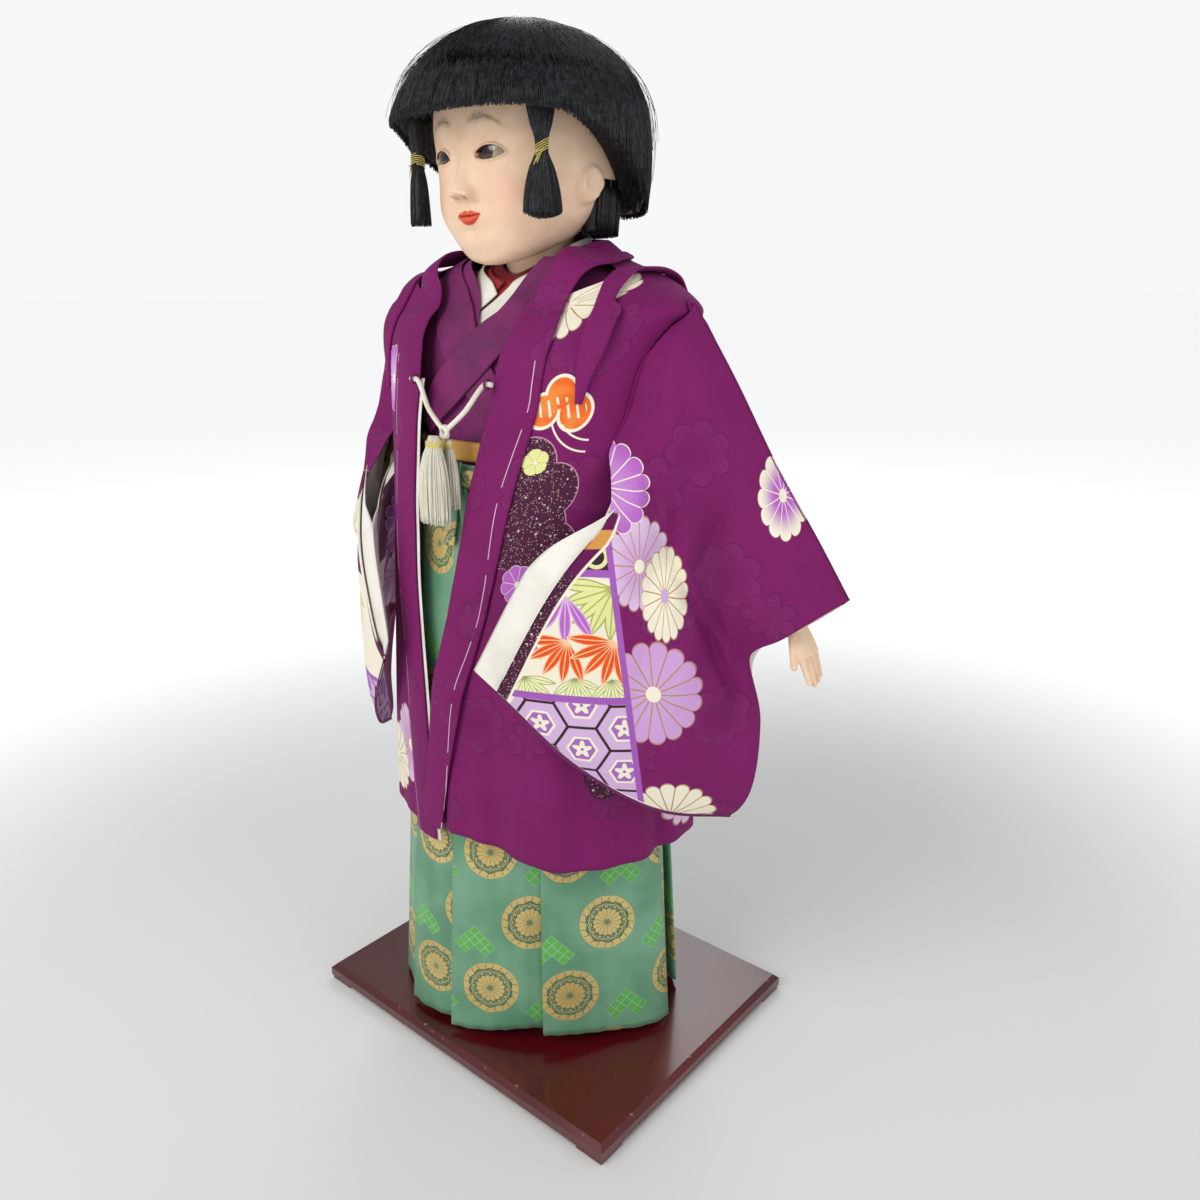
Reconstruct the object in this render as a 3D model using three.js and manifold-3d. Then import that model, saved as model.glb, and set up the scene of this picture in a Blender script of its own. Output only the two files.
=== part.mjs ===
// Standing child doll in display dress: purple haori over a kimono and pleated
// hakama, black bobbed hair, on a lacquered board. Millimetres, +Z up.
// The doll faces -Y and its left hand is at +X. The origin is the centre of the
// board's underside; the doll's own heights are measured from the board's top.
import * as THREE from 'three';
import { mergeVertices } from 'three/addons/utils/BufferGeometryUtils.js';
import Module from 'manifold-3d';

const wasm = await Module();
wasm.setup();

// Stand
const boardWidth = 320;
const boardDepth = 246;
const boardThickness = 11.5;
const boardChamfer = 4.2;
const cornerFootLength = 24;
const cornerFootHeight = 3.5;
const cornerFootInset = 1;
const cornerFootSeat = 1.2;
const fit = 0.3;

// Feet, legs and their pegs
const footLength = 74;
const footWidth = 27;
const footHeight = 46;
const footSpread = 36;
const pegRadius = 3;
const pegDepth = 9;
const pegLength = 30;
const legRadius = 19;
const hipHeight = 330;

// Body, neck and head
const neckRadius = 27;
const neckBase = 566;
const neckCentreY = 6;
const neckPegRadius = 9;
const neckPegLength = 46;
const eyeRadius = 8;
const eyeSpread = 24;
const eyeHeight = 663;
const eyeDepth = -57;

// Arms and hands
const shoulderX = 112;
const shoulderHeight = 559;
const armLength = 205;
const armRadius = 14;
const wristRadius = 8;
const armAngleLeft = 31;
const armAngleRight = 27;
const armSwing = 18;
const armholeEase = 3;
const handLength = 24;
const fingerRadius = 2.7;
const fingerLength = 19;

// Cloth
const clothWall = 1.2;
const silkWall = 1;
const bodySquareness = 2.6;
const haoriTop = 602;
const hakamaTop = 466;
const hemHeight = 5;
const pleatDepth = 7;
const collarThickness = 1.4;
const tuckWidth = 15;
const tuckThickness = 3;

// Fastening of the haori
const loopHeight = 523;
const loopThread = 0.9;
const loopEase = 0.45;
const knotRadius = 5;
const cordDiameter = 3.6;
const tasselLength = 60;
const tasselRadius = 14;

const deg = Math.PI / 180;
const V = (x, y, z) => new THREE.Vector3(x, y, z);

// Materials

const finish = (color, roughness, metalness = 0) =>
  new THREE.MeshStandardMaterial({ color, roughness, metalness });
const materials = {
  lacquer: finish(0x4a0f12, 0.3),
  purpleCrepe: finish(0x6d1a5c, 0.75),
  purpleSilk: finish(0x7a2068, 0.7),
  whiteSilk: finish(0xf2efe6, 0.8),
  redSilk: finish(0x8e1626, 0.7),
  greenBrocade: finish(0x4f9475, 0.45),
  goldBrocade: finish(0xb98b34, 0.5),
  shellWhite: finish(0xe8cdb8, 0.6),
  hair: finish(0x0b0b0d, 0.45),
  glassEye: finish(0x1d0f0a, 0.1),
  goldThread: finish(0xd9c25a, 0.5),
  paleCord: finish(0xe9e4d4, 0.85),
  wood: finish(0xc9a878, 0.8),
  straw: finish(0xb99c62, 0.9),
  steel: finish(0x9a9a98, 0.35, 1),
};

// Interpolation: a cubic through the rows of a small table, first column the key

function spline(rows, key) {
  const last = rows.length - 1;
  const k = Math.min(Math.max(key, rows[0][0]), rows[last][0]);
  let i = 0;
  while (i < last - 1 && k > rows[i + 1][0]) i += 1;
  const [a, b] = [rows[i], rows[i + 1]];
  const before = rows[Math.max(i - 1, 0)];
  const after = rows[Math.min(i + 2, last)];
  const span = b[0] - a[0];
  const t = (k - a[0]) / span;
  const out = [];
  for (let c = 1; c < a.length; c += 1) {
    const slopeA = (b[c] - before[c]) / (b[0] - before[0]);
    const slopeB = (after[c] - a[c]) / (after[0] - a[0]);
    const h = t * t * (3 - 2 * t);
    out.push(a[c] + (b[c] - a[c]) * h
      + slopeA * span * t * (1 - t) * (1 - t) - slopeB * span * t * t * (1 - t));
  }
  return out;
}

const mix = (a, b, t) => a + (b - a) * t;
const ease = (lo, hi, x) => {
  const t = Math.min(Math.max((x - lo) / (hi - lo), 0), 1);
  return t * t * (3 - 2 * t);
};

// Solids from points

function solidFrom(points, faces) {
  let volume = 0;
  for (const [a, b, c] of faces) {
    volume += points[a].dot(new THREE.Vector3().crossVectors(points[b], points[c]));
  }
  const index = faces.flatMap(([a, b, c]) => (volume < 0 ? [a, c, b] : [a, b, c]));
  const geometry = new THREE.BufferGeometry();
  const flat = points.flatMap((p) => [p.x, p.y, p.z]);
  geometry.setAttribute('position', new THREE.Float32BufferAttribute(flat, 3));
  geometry.setIndex(index);
  return dropSlivers(mergeVertices(geometry, 1e-4));
}

// Faces whose corners were merged into one point are left out
function dropSlivers(geometry) {
  const old = geometry.getIndex().array;
  const index = [];
  for (let i = 0; i < old.length; i += 3) {
    const [a, b, c] = [old[i], old[i + 1], old[i + 2]];
    if (a !== b && b !== c && c !== a) index.push(a, b, c);
  }
  geometry.setIndex(index);
  return geometry;
}

const quad = (a, b, c, d) => [[a, b, c], [a, c, d]];

// A sheet of cloth: a grid of points on its middle line, thickened along its normal.
// The outer face stands `raise` outside the grid and the inner one `wall` below that. Both
// faces split their quads along the same diagonal, so they stay apart where they twist.
function sheetSolid(surface, nu, nv, wall, raise = 0, inside = V(0, 0, 300)) {
  const grid = [];
  for (let i = 0; i <= nu; i += 1) {
    grid.push([]);
    for (let j = 0; j <= nv; j += 1) grid[i].push(surface(i / nu, j / nv));
  }
  const points = [];
  const side = [];
  for (let i = 0; i <= nu; i += 1) {
    for (let j = 0; j <= nv; j += 1) {
      const du = V().subVectors(grid[Math.min(i + 1, nu)][j], grid[Math.max(i - 1, 0)][j]);
      const dv = V().subVectors(grid[i][Math.min(j + 1, nv)], grid[i][Math.max(j - 1, 0)]);
      const n = V().crossVectors(du, dv).normalize();
      if (n.dot(V().subVectors(grid[i][j], inside)) < 0) n.negate();
      points.push(grid[i][j].clone().addScaledVector(n, raise));
      side.push(grid[i][j].clone().addScaledVector(n, raise - wall));
    }
  }
  const count = points.length;
  const at = (i, j) => i * (nv + 1) + j;
  const faces = [];
  for (let i = 0; i < nu; i += 1) {
    for (let j = 0; j < nv; j += 1) {
      faces.push(...quad(at(i, j), at(i + 1, j), at(i + 1, j + 1), at(i, j + 1)));
      faces.push(...quad(count + at(i, j), count + at(i, j + 1),
        count + at(i + 1, j + 1), count + at(i + 1, j)));
    }
  }
  const border = [];
  for (let i = 0; i < nu; i += 1) border.push(at(i, 0));
  for (let j = 0; j < nv; j += 1) border.push(at(nu, j));
  for (let i = nu; i > 0; i -= 1) border.push(at(i, nv));
  for (let j = nv; j > 0; j -= 1) border.push(at(0, j));
  border.forEach((a, k) => {
    const b = border[(k + 1) % border.length];
    faces.push(...quad(b, a, count + a, count + b));
  });
  return solidFrom([...points, ...side], faces);
}

// A solid through closed rings of equal count, with a fan over each end
function loftSolid(rings) {
  const n = rings[0].length;
  const points = rings.flat();
  const faces = [];
  for (let i = 0; i < rings.length - 1; i += 1) {
    for (let j = 0; j < n; j += 1) {
      const k = (j + 1) % n;
      faces.push(...quad(i * n + j, i * n + k, (i + 1) * n + k, (i + 1) * n + j));
    }
  }
  const first = rings[0].reduce((s, p) => s.add(p), V()).divideScalar(n);
  const last = rings[rings.length - 1].reduce((s, p) => s.add(p), V()).divideScalar(n);
  points.push(first, last);
  const end = (rings.length - 1) * n;
  for (let j = 0; j < n; j += 1) {
    const k = (j + 1) % n;
    faces.push([points.length - 2, k, j]);
    faces.push([points.length - 1, end + j, end + k]);
  }
  return solidFrom(points, faces);
}

// A shell between outer and inner rings, open at both ends or closed at the last
function shellSolid(outer, inner, closedEnd = false) {
  const n = outer[0].length;
  const rows = outer.length;
  const points = [...outer.flat(), ...inner.flat()];
  const base = rows * n;
  const faces = [];
  for (let j = 0; j < n; j += 1) {
    const k = (j + 1) % n;
    for (let i = 0; i < rows - 1; i += 1) {
      faces.push(...quad(i * n + j, i * n + k, (i + 1) * n + k, (i + 1) * n + j));
      faces.push(...quad(base + i * n + j, base + (i + 1) * n + j,
        base + (i + 1) * n + k, base + i * n + k));
    }
    faces.push(...quad(k, j, base + j, base + k));
    const e = (rows - 1) * n;
    if (!closedEnd) faces.push(...quad(e + j, e + k, base + e + k, base + e + j));
  }
  if (closedEnd) {
    const e = (rows - 1) * n;
    points.push(outer[rows - 1].reduce((s, p) => s.add(p), V()).divideScalar(n));
    points.push(inner[rows - 1].reduce((s, p) => s.add(p), V()).divideScalar(n));
    for (let j = 0; j < n; j += 1) {
      const k = (j + 1) % n;
      faces.push([points.length - 2, e + j, e + k]);
      faces.push([points.length - 1, base + e + k, base + e + j]);
    }
  }
  return solidFrom(points, faces);
}

const ellipse = (centre, rx, ry, n) => Array.from({ length: n }, (_, j) => {
  const t = (j / n) * 2 * Math.PI;
  return V(centre.x + rx * Math.cos(t), centre.y + ry * Math.sin(t), centre.z);
});

// A round bar with domed ends between two points, thicker at one end if wanted
function capsule(from, to, r0, r1, n = 10, dome = [80, 45, 0]) {
  const axis = V().subVectors(to, from);
  const turn = new THREE.Quaternion().setFromUnitVectors(V(0, 0, 1), axis.clone().normalize());
  const length = axis.length();
  const rings = [];
  const ring = (z, r) => rings.push(ellipse(V(0, 0, z), r, r, n)
    .map((p) => p.applyQuaternion(turn).add(from)));
  dome.forEach((a) => ring(-r0 * Math.sin(a * deg), r0 * Math.cos(a * deg)));
  [0, 45, 80].forEach((a) => ring(length + r1 * Math.sin(a * deg), r1 * Math.cos(a * deg)));
  return loftSolid(rings);
}

// Booleans

function toManifold(geometry) {
  const bare = geometry.clone();
  bare.deleteAttribute('normal');
  bare.deleteAttribute('uv');
  const merged = dropSlivers(mergeVertices(bare, 1e-4));
  return new wasm.Manifold(new wasm.Mesh({
    numProp: 3,
    vertProperties: new Float32Array(merged.getAttribute('position').array),
    triVerts: new Uint32Array(merged.getIndex().array),
  }));
}

function fromManifold(body) {
  const mesh = body.getMesh();
  const geometry = new THREE.BufferGeometry();
  geometry.setAttribute('position', new THREE.BufferAttribute(mesh.vertProperties, 3));
  geometry.setIndex(new THREE.BufferAttribute(mesh.triVerts, 1));
  return dropSlivers(mergeVertices(geometry, 0.02));
}

const cut = (a, ...tools) => fromManifold(tools.reduce(
  (body, tool) => body.subtract(toManifold(tool)), toManifold(a)));
const join = (a, ...others) => fromManifold(others.reduce(
  (body, other) => body.add(toManifold(other)), toManifold(a)));

const upright = (radius, z0, z1, sides = 20) => new THREE.CylinderGeometry(
  radius, radius, z1 - z0, sides).rotateX(Math.PI / 2).translate(0, 0, (z0 + z1) / 2);

// Plan sections of the body: half-width a, front depth f, back depth b, squared off
// by an exponent. The angle is 0 at the front and 90 degrees at the doll's left.

const planRadius = (a, f, b, angle, square = bodySquareness) => {
  const s = Math.abs(Math.sin(angle)) / a;
  const c = Math.abs(Math.cos(angle)) / (Math.cos(angle) > 0 ? f : b);
  return (s ** square + c ** square) ** (-1 / square);
};
const polar = (r, angle, z) => V(r * Math.sin(angle), -r * Math.cos(angle), z);

// height, half-width, front, back
const kimonoRows = [
  [345, 68, 50, 50], [400, 74, 58, 53], [465, 82, 71, 60], [523, 100, 70, 60],
  [545, 108, 64, 58], [560, 114, 55, 54], [569, 116, 47, 49], [580, 106, 40, 45],
  [590, 86.2, 36.6, 43], [597, 64.4, 35.6, 43], [604, 46, 35, 43],
];
const haoriRows = [
  [160, 119, 100, 101], [300, 116, 98, 97], [400, 116, 93, 90], [470, 116, 88, 82],
  [523, 120, 82, 73], [545, 125, 75, 68], [560, 132, 64, 61], [569, 136, 54, 55],
  [580, 123, 48, 54], [590, 104, 46, 53], [597, 82, 45, 53], [604, 60, 45, 53],
];
const rowPoint = (rows, angle, z, grow = 0) => {
  const [a, f, b] = spline(rows, z);
  return polar(planRadius(a, f, b, angle) + grow, angle, z);
};

// The angle at which a section's front, or its back, reaches a given x
function angleAt(rows, x, z, behind = false) {
  let lo = behind ? Math.PI : -90 * deg;
  let hi = 90 * deg;
  for (let i = 0; i < 30; i += 1) {
    const m = (lo + hi) / 2;
    if (rowPoint(rows, m, z).x < x) lo = m;
    else hi = m;
  }
  return (lo + hi) / 2;
}

// The height of the shoulder slope above a point in plan
function shoulderHeightAt(rows, x, y) {
  const angle = Math.atan2(x, -y);
  let lo = 569;
  let hi = 604;
  for (let i = 0; i < 30; i += 1) {
    const m = (lo + hi) / 2;
    const [a, f, b] = spline(rows, m);
    if (planRadius(a, f, b, angle) > Math.hypot(x, y)) lo = m;
    else hi = m;
  }
  return (lo + hi) / 2;
}

const root = new THREE.Group();
const doll = new THREE.Group();
doll.position.z = boardThickness;
root.add(doll);

function piece(name, geometry, material, parent = doll) {
  const mesh = new THREE.Mesh(geometry, material);
  mesh.name = name;
  parent.add(mesh);
  return mesh;
}

// Stand: a board chamfered round its top, on four corner feet that sit in shallow pockets

const cornerFeet = [[1, -1], [1, 1], [-1, 1], [-1, -1]];
// A bracket-shaped foot between two heights, grown by `room` on every side
function cornerFootGeometry([sx, sy], z0, z1, room) {
  const arm = cornerFootLength + room;
  const wide = cornerFootLength / 3 + room;
  const outline = new THREE.Shape([[-room, -room], [arm, -room], [arm, wide], [wide, arm],
    [-room, arm]].map(([x, y]) => new THREE.Vector2(x, y)));
  return new THREE.ExtrudeGeometry(outline, { depth: z1 - z0, bevelEnabled: false })
    .rotateZ(Math.atan2(-sy, -sx) - 45 * deg)
    .translate(sx * (boardWidth / 2 - cornerFootInset), sy * (boardDepth / 2 - cornerFootInset), z0);
}

function boardGeometry() {
  const outline = (inset, z) => {
    const x = boardWidth / 2 - inset;
    const y = boardDepth / 2 - inset;
    return [V(x, y, z), V(-x, y, z), V(-x, -y, z), V(x, -y, z)];
  };
  const blank = loftSolid([outline(0, 0), outline(0, boardThickness - boardChamfer),
    outline(boardChamfer, boardThickness)]);
  const holes = [-1, 1].map((s) => upright(pegRadius + fit,
    boardThickness - pegDepth - 1, boardThickness + 5, 12).translate(s * footSpread, 0, 0));
  const pockets = cornerFeet.map((corner) => cornerFootGeometry(corner, -1, cornerFootSeat, fit));
  return cut(blank, ...holes, ...pockets);
}
piece('base_board', boardGeometry(), materials.lacquer, root);

cornerFeet.forEach((corner, i) => piece(`base_foot_${i + 1}`,
  cornerFootGeometry(corner, -cornerFootHeight, cornerFootSeat - fit, 0), materials.lacquer, root));

// Feet in split-toe socks, on pegs, under plain padded legs

function footGeometry(side) {
  // length from heel, half-width, height
  const rows = [[0, 9, 30], [8, 12, footHeight], [24, 12.5, footHeight], [38, 12, 30],
    [54, footWidth / 2, 19], [66, 12.5, 13], [footLength, 8, 8]];
  const rings = rows.map(([y, w, h]) => Array.from({ length: 14 }, (_, j) => {
    const t = (j / 14) * 2 * Math.PI;
    const z = h / 2 + (h / 2) * Math.sign(Math.sin(t)) * Math.abs(Math.sin(t)) ** 0.6;
    return V(w * Math.cos(t), 16 - y, z);
  }));
  const cleft = new THREE.BoxGeometry(1.2, 22, 20).translate(-side * 4, 16 - footLength, 12);
  const top = new THREE.BoxGeometry(60, 60, 20).translate(0, 16, footHeight + 9);
  return cut(loftSolid(rings), cleft, top).translate(side * footSpread, 0, fit);
}

for (const [name, side] of [['left', 1], ['right', -1]]) {
  const socket = upright(pegRadius + fit, -5, pegLength - pegDepth + fit, 12)
    .translate(side * footSpread, 0, 0);
  piece(`foot_${name}`, cut(footGeometry(side), socket), materials.whiteSilk);
  piece(`foot_peg_${name}`, upright(pegRadius, -pegDepth, pegLength - pegDepth, 12)
    .translate(side * footSpread, 0, 0), materials.steel);
  const ankle = footHeight - 1 + 2 * fit;
  const leg = [[ankle, 10], [ankle + 60, 15], [220, legRadius], [hipHeight - fit, legRadius]]
    .map(([z, r]) => ellipse(V(side * footSpread, z < 100 ? 6 : 4, z), r, r, 16));
  piece(`leg_${name}`, loftSolid(leg), materials.straw);
}

// Torso: a pressed straw and wood core, waisted, with a socket for the neck peg

const torsoRows = [
  [hipHeight, 62, 44, 46], [380, 68, 52, 49.5], [445, 76.3, 65.3, 55.6], [470, 79, 67, 56],
  [523, 86, 58, 50], [545, 92, 52, 46], [shoulderHeight, shoulderX - armRadius - fit, 42, 42],
  [neckBase, 90, 38, 40],
];
function torsoGeometry() {
  const rings = torsoRows.map(([z]) => Array.from({ length: 24 }, (_, j) =>
    rowPoint(torsoRows, (j / 24) * 2 * Math.PI, z)));
  const socket = upright(neckPegRadius + fit, neckBase - neckPegLength - fit, neckBase + 10)
    .translate(0, neckCentreY, 0);
  return cut(loftSolid(rings), socket);
}
piece('torso', torsoGeometry(), materials.straw);

// Head: skull, cheeks, nose and chin on sections about the face's own centre

// height, half-width, front, back, centre y
const headRows = [
  [598, 5, 5, 5, -42], [600.5, 17, 11, 12, -39], [605, 28, 19, 20, -33],
  [613, 39, 31, 32, -24], [624, 49, 43, 45, -15], [635, 55, 51, 56, -9],
  [648, 59, 56, 66, -6], [662, 61, 58, 72, -5], [678, 62, 60, 75, -5],
  [694, 62, 60, 76, -5], [707, 60, 58, 74, -5], [718, 54, 52, 67, -5],
  [728, 43, 42, 54, -5], [735, 27, 27, 35, -5], [738, 8, 8, 10, -5],
];
const bell = (x, middle, width) => Math.exp(-(((x - middle) / width) ** 2));

function headPoint(angle, z, grow = 0) {
  const [a, f, b, y] = spline(headRows, z);
  const t = Math.atan2(Math.sin(angle), Math.cos(angle)) / deg;
  let r = planRadius(a, f, b, angle, 2.2) + grow;
  r += 11 * bell(t, 0, 7) * Math.max(0, bell(z, 642, 6), 0.55 * bell(z, 652, 12));
  r += 3 * bell(t, 0, 9) * bell(z, 626, 5) - 2 * bell(Math.abs(t), 24, 9) * bell(z, 664, 8);
  r += 3 * bell(Math.abs(t), 38, 18) * bell(z, 630, 16);
  return polar(r, angle, z).add(V(0, y, 0));
}

function headGeometry() {
  const heights = [598, 600.5, 606, 614, 622, 628, 634, 639, 643, 649, 657, 666, 678, 692, 706,
    718, 728, 735, 738];
  const around = 32;
  const rings = heights.map((z) => Array.from({ length: around }, (_, j) =>
    headPoint((j / around) * 2 * Math.PI, z)));
  const neck = upright(neckRadius, neckBase + fit, 640, 28).translate(0, neckCentreY, 0);
  const socket = upright(neckPegRadius + fit / 2, neckBase - 5, neckBase + 24)
    .translate(0, neckCentreY, 0);
  const eyes = [-1, 1].map((s) => new THREE.SphereGeometry(eyeRadius + fit, 12, 8)
    .translate(s * eyeSpread, eyeDepth, eyeHeight));
  return cut(join(loftSolid(rings), neck), socket, ...eyes);
}
piece('head', headGeometry(), materials.shellWhite);
piece('neck_peg', upright(neckPegRadius, neckBase - neckPegLength, neckBase + 24 - fit, 16)
  .translate(0, neckCentreY, 0), materials.wood);
for (const [name, side] of [['left', 1], ['right', -1]]) {
  piece(`eye_${name}`, new THREE.SphereGeometry(eyeRadius, 12, 8)
    .translate(side * eyeSpread, eyeDepth, eyeHeight), materials.glassEye);
}

// Hair: a blunt bob over the skull, longer behind, with tied side locks

// height, half-width, front, back
const hairRows = [
  [634, 80, 82, 86], [655, 85, 84, 87], [675, 87, 85, 86], [690, 86, 84, 85],
  [705, 81, 78, 83], [720, 71, 68, 78], [734, 56, 54, 66], [744, 38, 37, 48],
  [750, 16, 16, 20], [751.5, 3, 3, 3],
];
const hairCentreY = -10;
// height, clearance of the cap round the skull
const hairClearance = [[630, 4.5], [648, 4], [662, 2], [676, 0.9], [702, 0.9], [720, 3.6],
  [738, 9]];
// angle from the front in degrees, height of the cut edge
const hairEdge = [[0, 690], [50, 690], [62, 687], [76, 678], [92, 666], [108, 652],
  [124, 641], [140, 635], [180, 634]];

function hairCapGeometry() {
  const n = 32;
  const rows = 9;
  const outer = [];
  const inner = [];
  for (let i = 0; i < rows; i += 1) {
    outer.push([]);
    inner.push([]);
    for (let j = 0; j < n; j += 1) {
      const angle = (j / n) * 2 * Math.PI;
      const turn = Math.abs(Math.atan2(Math.sin(angle), Math.cos(angle)) / deg);
      const [edge] = spline(hairEdge, turn);
      const up = 1 - (1 - i / (rows - 1)) ** 1.7;
      const z = mix(edge, 751, up);
      const [a, f, b] = spline(hairRows, z);
      outer[i].push(polar(planRadius(a, f, b, angle, 2.1), angle, z).add(V(0, hairCentreY, 0)));
      const zIn = mix(edge, 743, up);
      inner[i].push(headPoint(angle, zIn, spline(hairClearance, zIn)[0]));
    }
  }
  return shellSolid(outer, inner, true);
}
piece('hair_cap', hairCapGeometry(), materials.hair);

piece('nape_hair', sheetSolid((u, v) => {
  const angle = mix(128, 232, u) * deg;
  const z = mix(622, 631.6, v);
  const [a, , b, y] = spline(headRows, 662);
  return polar(planRadius(a, a, b, angle, 2.2) + mix(-14, -2, v), angle, z).add(V(0, y, 0));
}, 14, 3, 9, 6, V(0, 0, 625)), materials.hair);

const lockX = 59;
const lockY = -53;
const lockTie = 666;
const lockBottom = 626;
for (const [name, side] of [['left', 1], ['right', -1]]) {
  // height, half-width across the cheek, half-thickness
  const rows = [[687.4, 9, 5], [677, 6, 4.5], [lockTie + 3, 3.8, 3.8], [lockTie - 3, 3.8, 3.8], [654, 8, 5.5],
    [640, 11.5, 6.5], [lockBottom, 13, 7]];
  const turned = (p) => p.applyAxisAngle(V(0, 0, 1), side * 52 * deg)
    .add(V(side * lockX, lockY, 0));
  piece(`side_lock_${name}`, loftSolid(rows.map(([z, w, t]) => ellipse(V(0, 0, z), w, t, 14)
    .map(turned))), materials.hair);
  const bind = new THREE.LatheGeometry([[4.1, -2], [5.2, -2], [5.2, 2], [4.1, 2],
    [4.1, -2]].map(([x, y]) => new THREE.Vector2(x, y)), 14);
  piece(`lock_tie_${name}`, bind.rotateX(Math.PI / 2)
    .translate(side * lockX, lockY, lockTie), materials.goldThread);
}

// Kimono body: it wraps the torso and crosses into a V at the throat

const neckline = (angle) => {
  const turn = Math.abs(Math.atan2(Math.sin(angle), Math.cos(angle)) / deg);
  return 603 - 46 * Math.max(0, 1 - turn / 52) ** 1.15;
};
function kimonoBodyGeometry() {
  const n = 30;
  const rows = 9;
  const outer = [];
  const inner = [];
  for (let i = 0; i < rows; i += 1) {
    const up = 1 - (1 - i / (rows - 1)) ** 1.7;
    const ring = (grow) => Array.from({ length: n }, (_, j) => {
      const angle = (j / n) * 2 * Math.PI;
      return rowPoint(kimonoRows, angle, mix(345, neckline(angle), up), grow);
    });
    outer.push(ring(0));
    inner.push(ring(-clothWall - 0.8 * i / rows));
  }
  return shellSolid(outer, inner);
}

// The shoulder pivot and the arm's direction on each side
const armLine = (side, angle) => V(side * Math.sin(angle * deg), 0, -Math.cos(angle * deg));
const arms = [
  { name: 'left', side: 1, angle: armAngleLeft },
  { name: 'right', side: -1, angle: armAngleRight },
].map((arm) => {
  const pivot = V(arm.side * shoulderX, 0, shoulderHeight);
  const direction = armLine(arm.side, arm.angle);
  return { ...arm, pivot, direction, wrist: pivot.clone().addScaledVector(direction, armLength) };
});

// Room for an arm from where it hangs to where it is swung out
const armhole = ({ side, angle, pivot }) => join(...[0, armSwing].map((lift) =>
  capsule(pivot, pivot.clone().addScaledVector(armLine(side, angle + lift), 44),
    armRadius + armholeEase, armRadius + armholeEase, 8)));

piece('kimono_body', cut(kimonoBodyGeometry(), ...arms.map(armhole)), materials.purpleSilk);

// Haori: two body panels that run over the shoulders, meeting at the centre back

// height, x of the band's inner edge, x of its outer edge
const leftBand = [[186, -31, -10], [218, -27, -4], [306, -16, 16], [360, -2, 33], [390, 5, 41],
  [446, 17, 54], [509, 35, 71], [545, 40, 74], [570, 40, 70]];
const rightBand = [[172, 20, 50], [216, 22, 53], [301, 29, 62], [381, 38, 73], [437, 40, 76],
  [492, 38, 74], [523, 35, 71], [545, 38, 72], [570, 40, 70]];

const haoriFold = (angle, z) => {
  const drop = 1 - ease(170, 480, z);
  return drop * (3.2 + 3 * Math.cos(7 * angle + 0.8) + 1.6 * Math.cos(11 * angle - 1.4));
};
const haoriPoint = (angle, z, grow = 0) => rowPoint(haoriRows, angle, z, grow + haoriFold(angle, z));

function haoriPanel(side, band, frontHem) {
  const surface = (u, v) => {
    const hem = (turn) => mix(frontHem, 173, ease(0, 80, turn));
    const zGuess = mix(frontHem, haoriTop, 1 - (1 - v) ** 1.7);
    const [inner, outer] = spline(band, zGuess);
    const x = (inner + outer) / 2;
    let edge = angleAt(haoriRows, x, Math.min(zGuess, 570)) / deg;
    edge = mix(edge, 84, ease(566, haoriTop, zGuess));
    const turn = mix(edge, 179.6, u);
    const z = mix(hem(turn), haoriTop, 1 - (1 - v) ** 1.7);
    const p = haoriPoint(side * turn * deg, z);
    return p;
  };
  const armOpening = armhole(arms.find((arm) => arm.side === side));
  return cut(sheetSolid(surface, 16, 11, clothWall), armOpening);
}
piece('haori_panel_left', haoriPanel(1, leftBand, 186), materials.purpleCrepe);
piece('haori_panel_right', haoriPanel(-1, rightBand, 172), materials.purpleCrepe);

// Bands: stations along a strip, each a row of points across it. Where the next station
// lies far round the neck, more are set between them.
const turnOf = (p) => Math.atan2(p.x, -p.y);
const stationTurn = 12 * deg;
function between(row, next) {
  if (!next) return [row];
  const part = (p, q) => THREE.MathUtils.euclideanModulo(turnOf(q) - turnOf(p) + Math.PI,
    2 * Math.PI) - Math.PI;
  const count = Math.max(1, Math.ceil(Math.abs(part(row[1], next[1])) / stationTurn));
  return Array.from({ length: count }, (_, k) => row.map((p, c) => {
    const q = next[c];
    const t = k / count;
    return polar(mix(Math.hypot(p.x, p.y), Math.hypot(q.x, q.y), t), turnOf(p) + part(p, q) * t,
      mix(p.z, q.z, t));
  }));
}

function bandSolid(given, wall, settle = (p) => p) {
  const stations = given.flatMap((row, i) => between(row, given[i + 1]));
  const [along, over] = [stations.length - 1, stations[0].length - 1];
  return sheetSolid((u, v) => settle(stations[Math.round(u * along)][Math.round(v * over)], u),
    along, over, wall, wall, V(0, 0, 520));
}

// Moves a point that lies less than `lift` outside a garment to that distance, along the
// garment's own normal. `share` is how far along its band the point lies, from 0 to 1.
const onto = (rows, lift) => (p, share) => {
  const angle = turnOf(p);
  const top = rows[rows.length - 1][0];
  const reach = (z) => planRadius(...spline(rows, z), angle);
  let [r, z] = [Math.hypot(p.x, p.y), p.z];
  for (let k = 0; k < 6 && z < top; k += 1) {
    const slope = reach(z - 0.5) - reach(z + 0.5);
    const away = lift(p, share) - (r - reach(z)) / Math.hypot(1, slope);
    if (away < 0) break;
    r += away / Math.hypot(1, slope);
    z += (away * slope) / Math.hypot(1, slope);
  }
  return polar(r, angle, z);
};

const bandAcross = 4;
const across = (f) => Array.from({ length: bandAcross }, (_, k) => f(k / (bandAcross - 1)));

// A station on the chest runs from x, z of the inner edge to x, z of the outer edge
const chest = (surface, rows, lift, [xa, za, xb, zb]) => across((t) => {
  const z = mix(za, zb, t);
  return surface(angleAt(rows, mix(xa, xb, t), z), z, lift);
});
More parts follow.
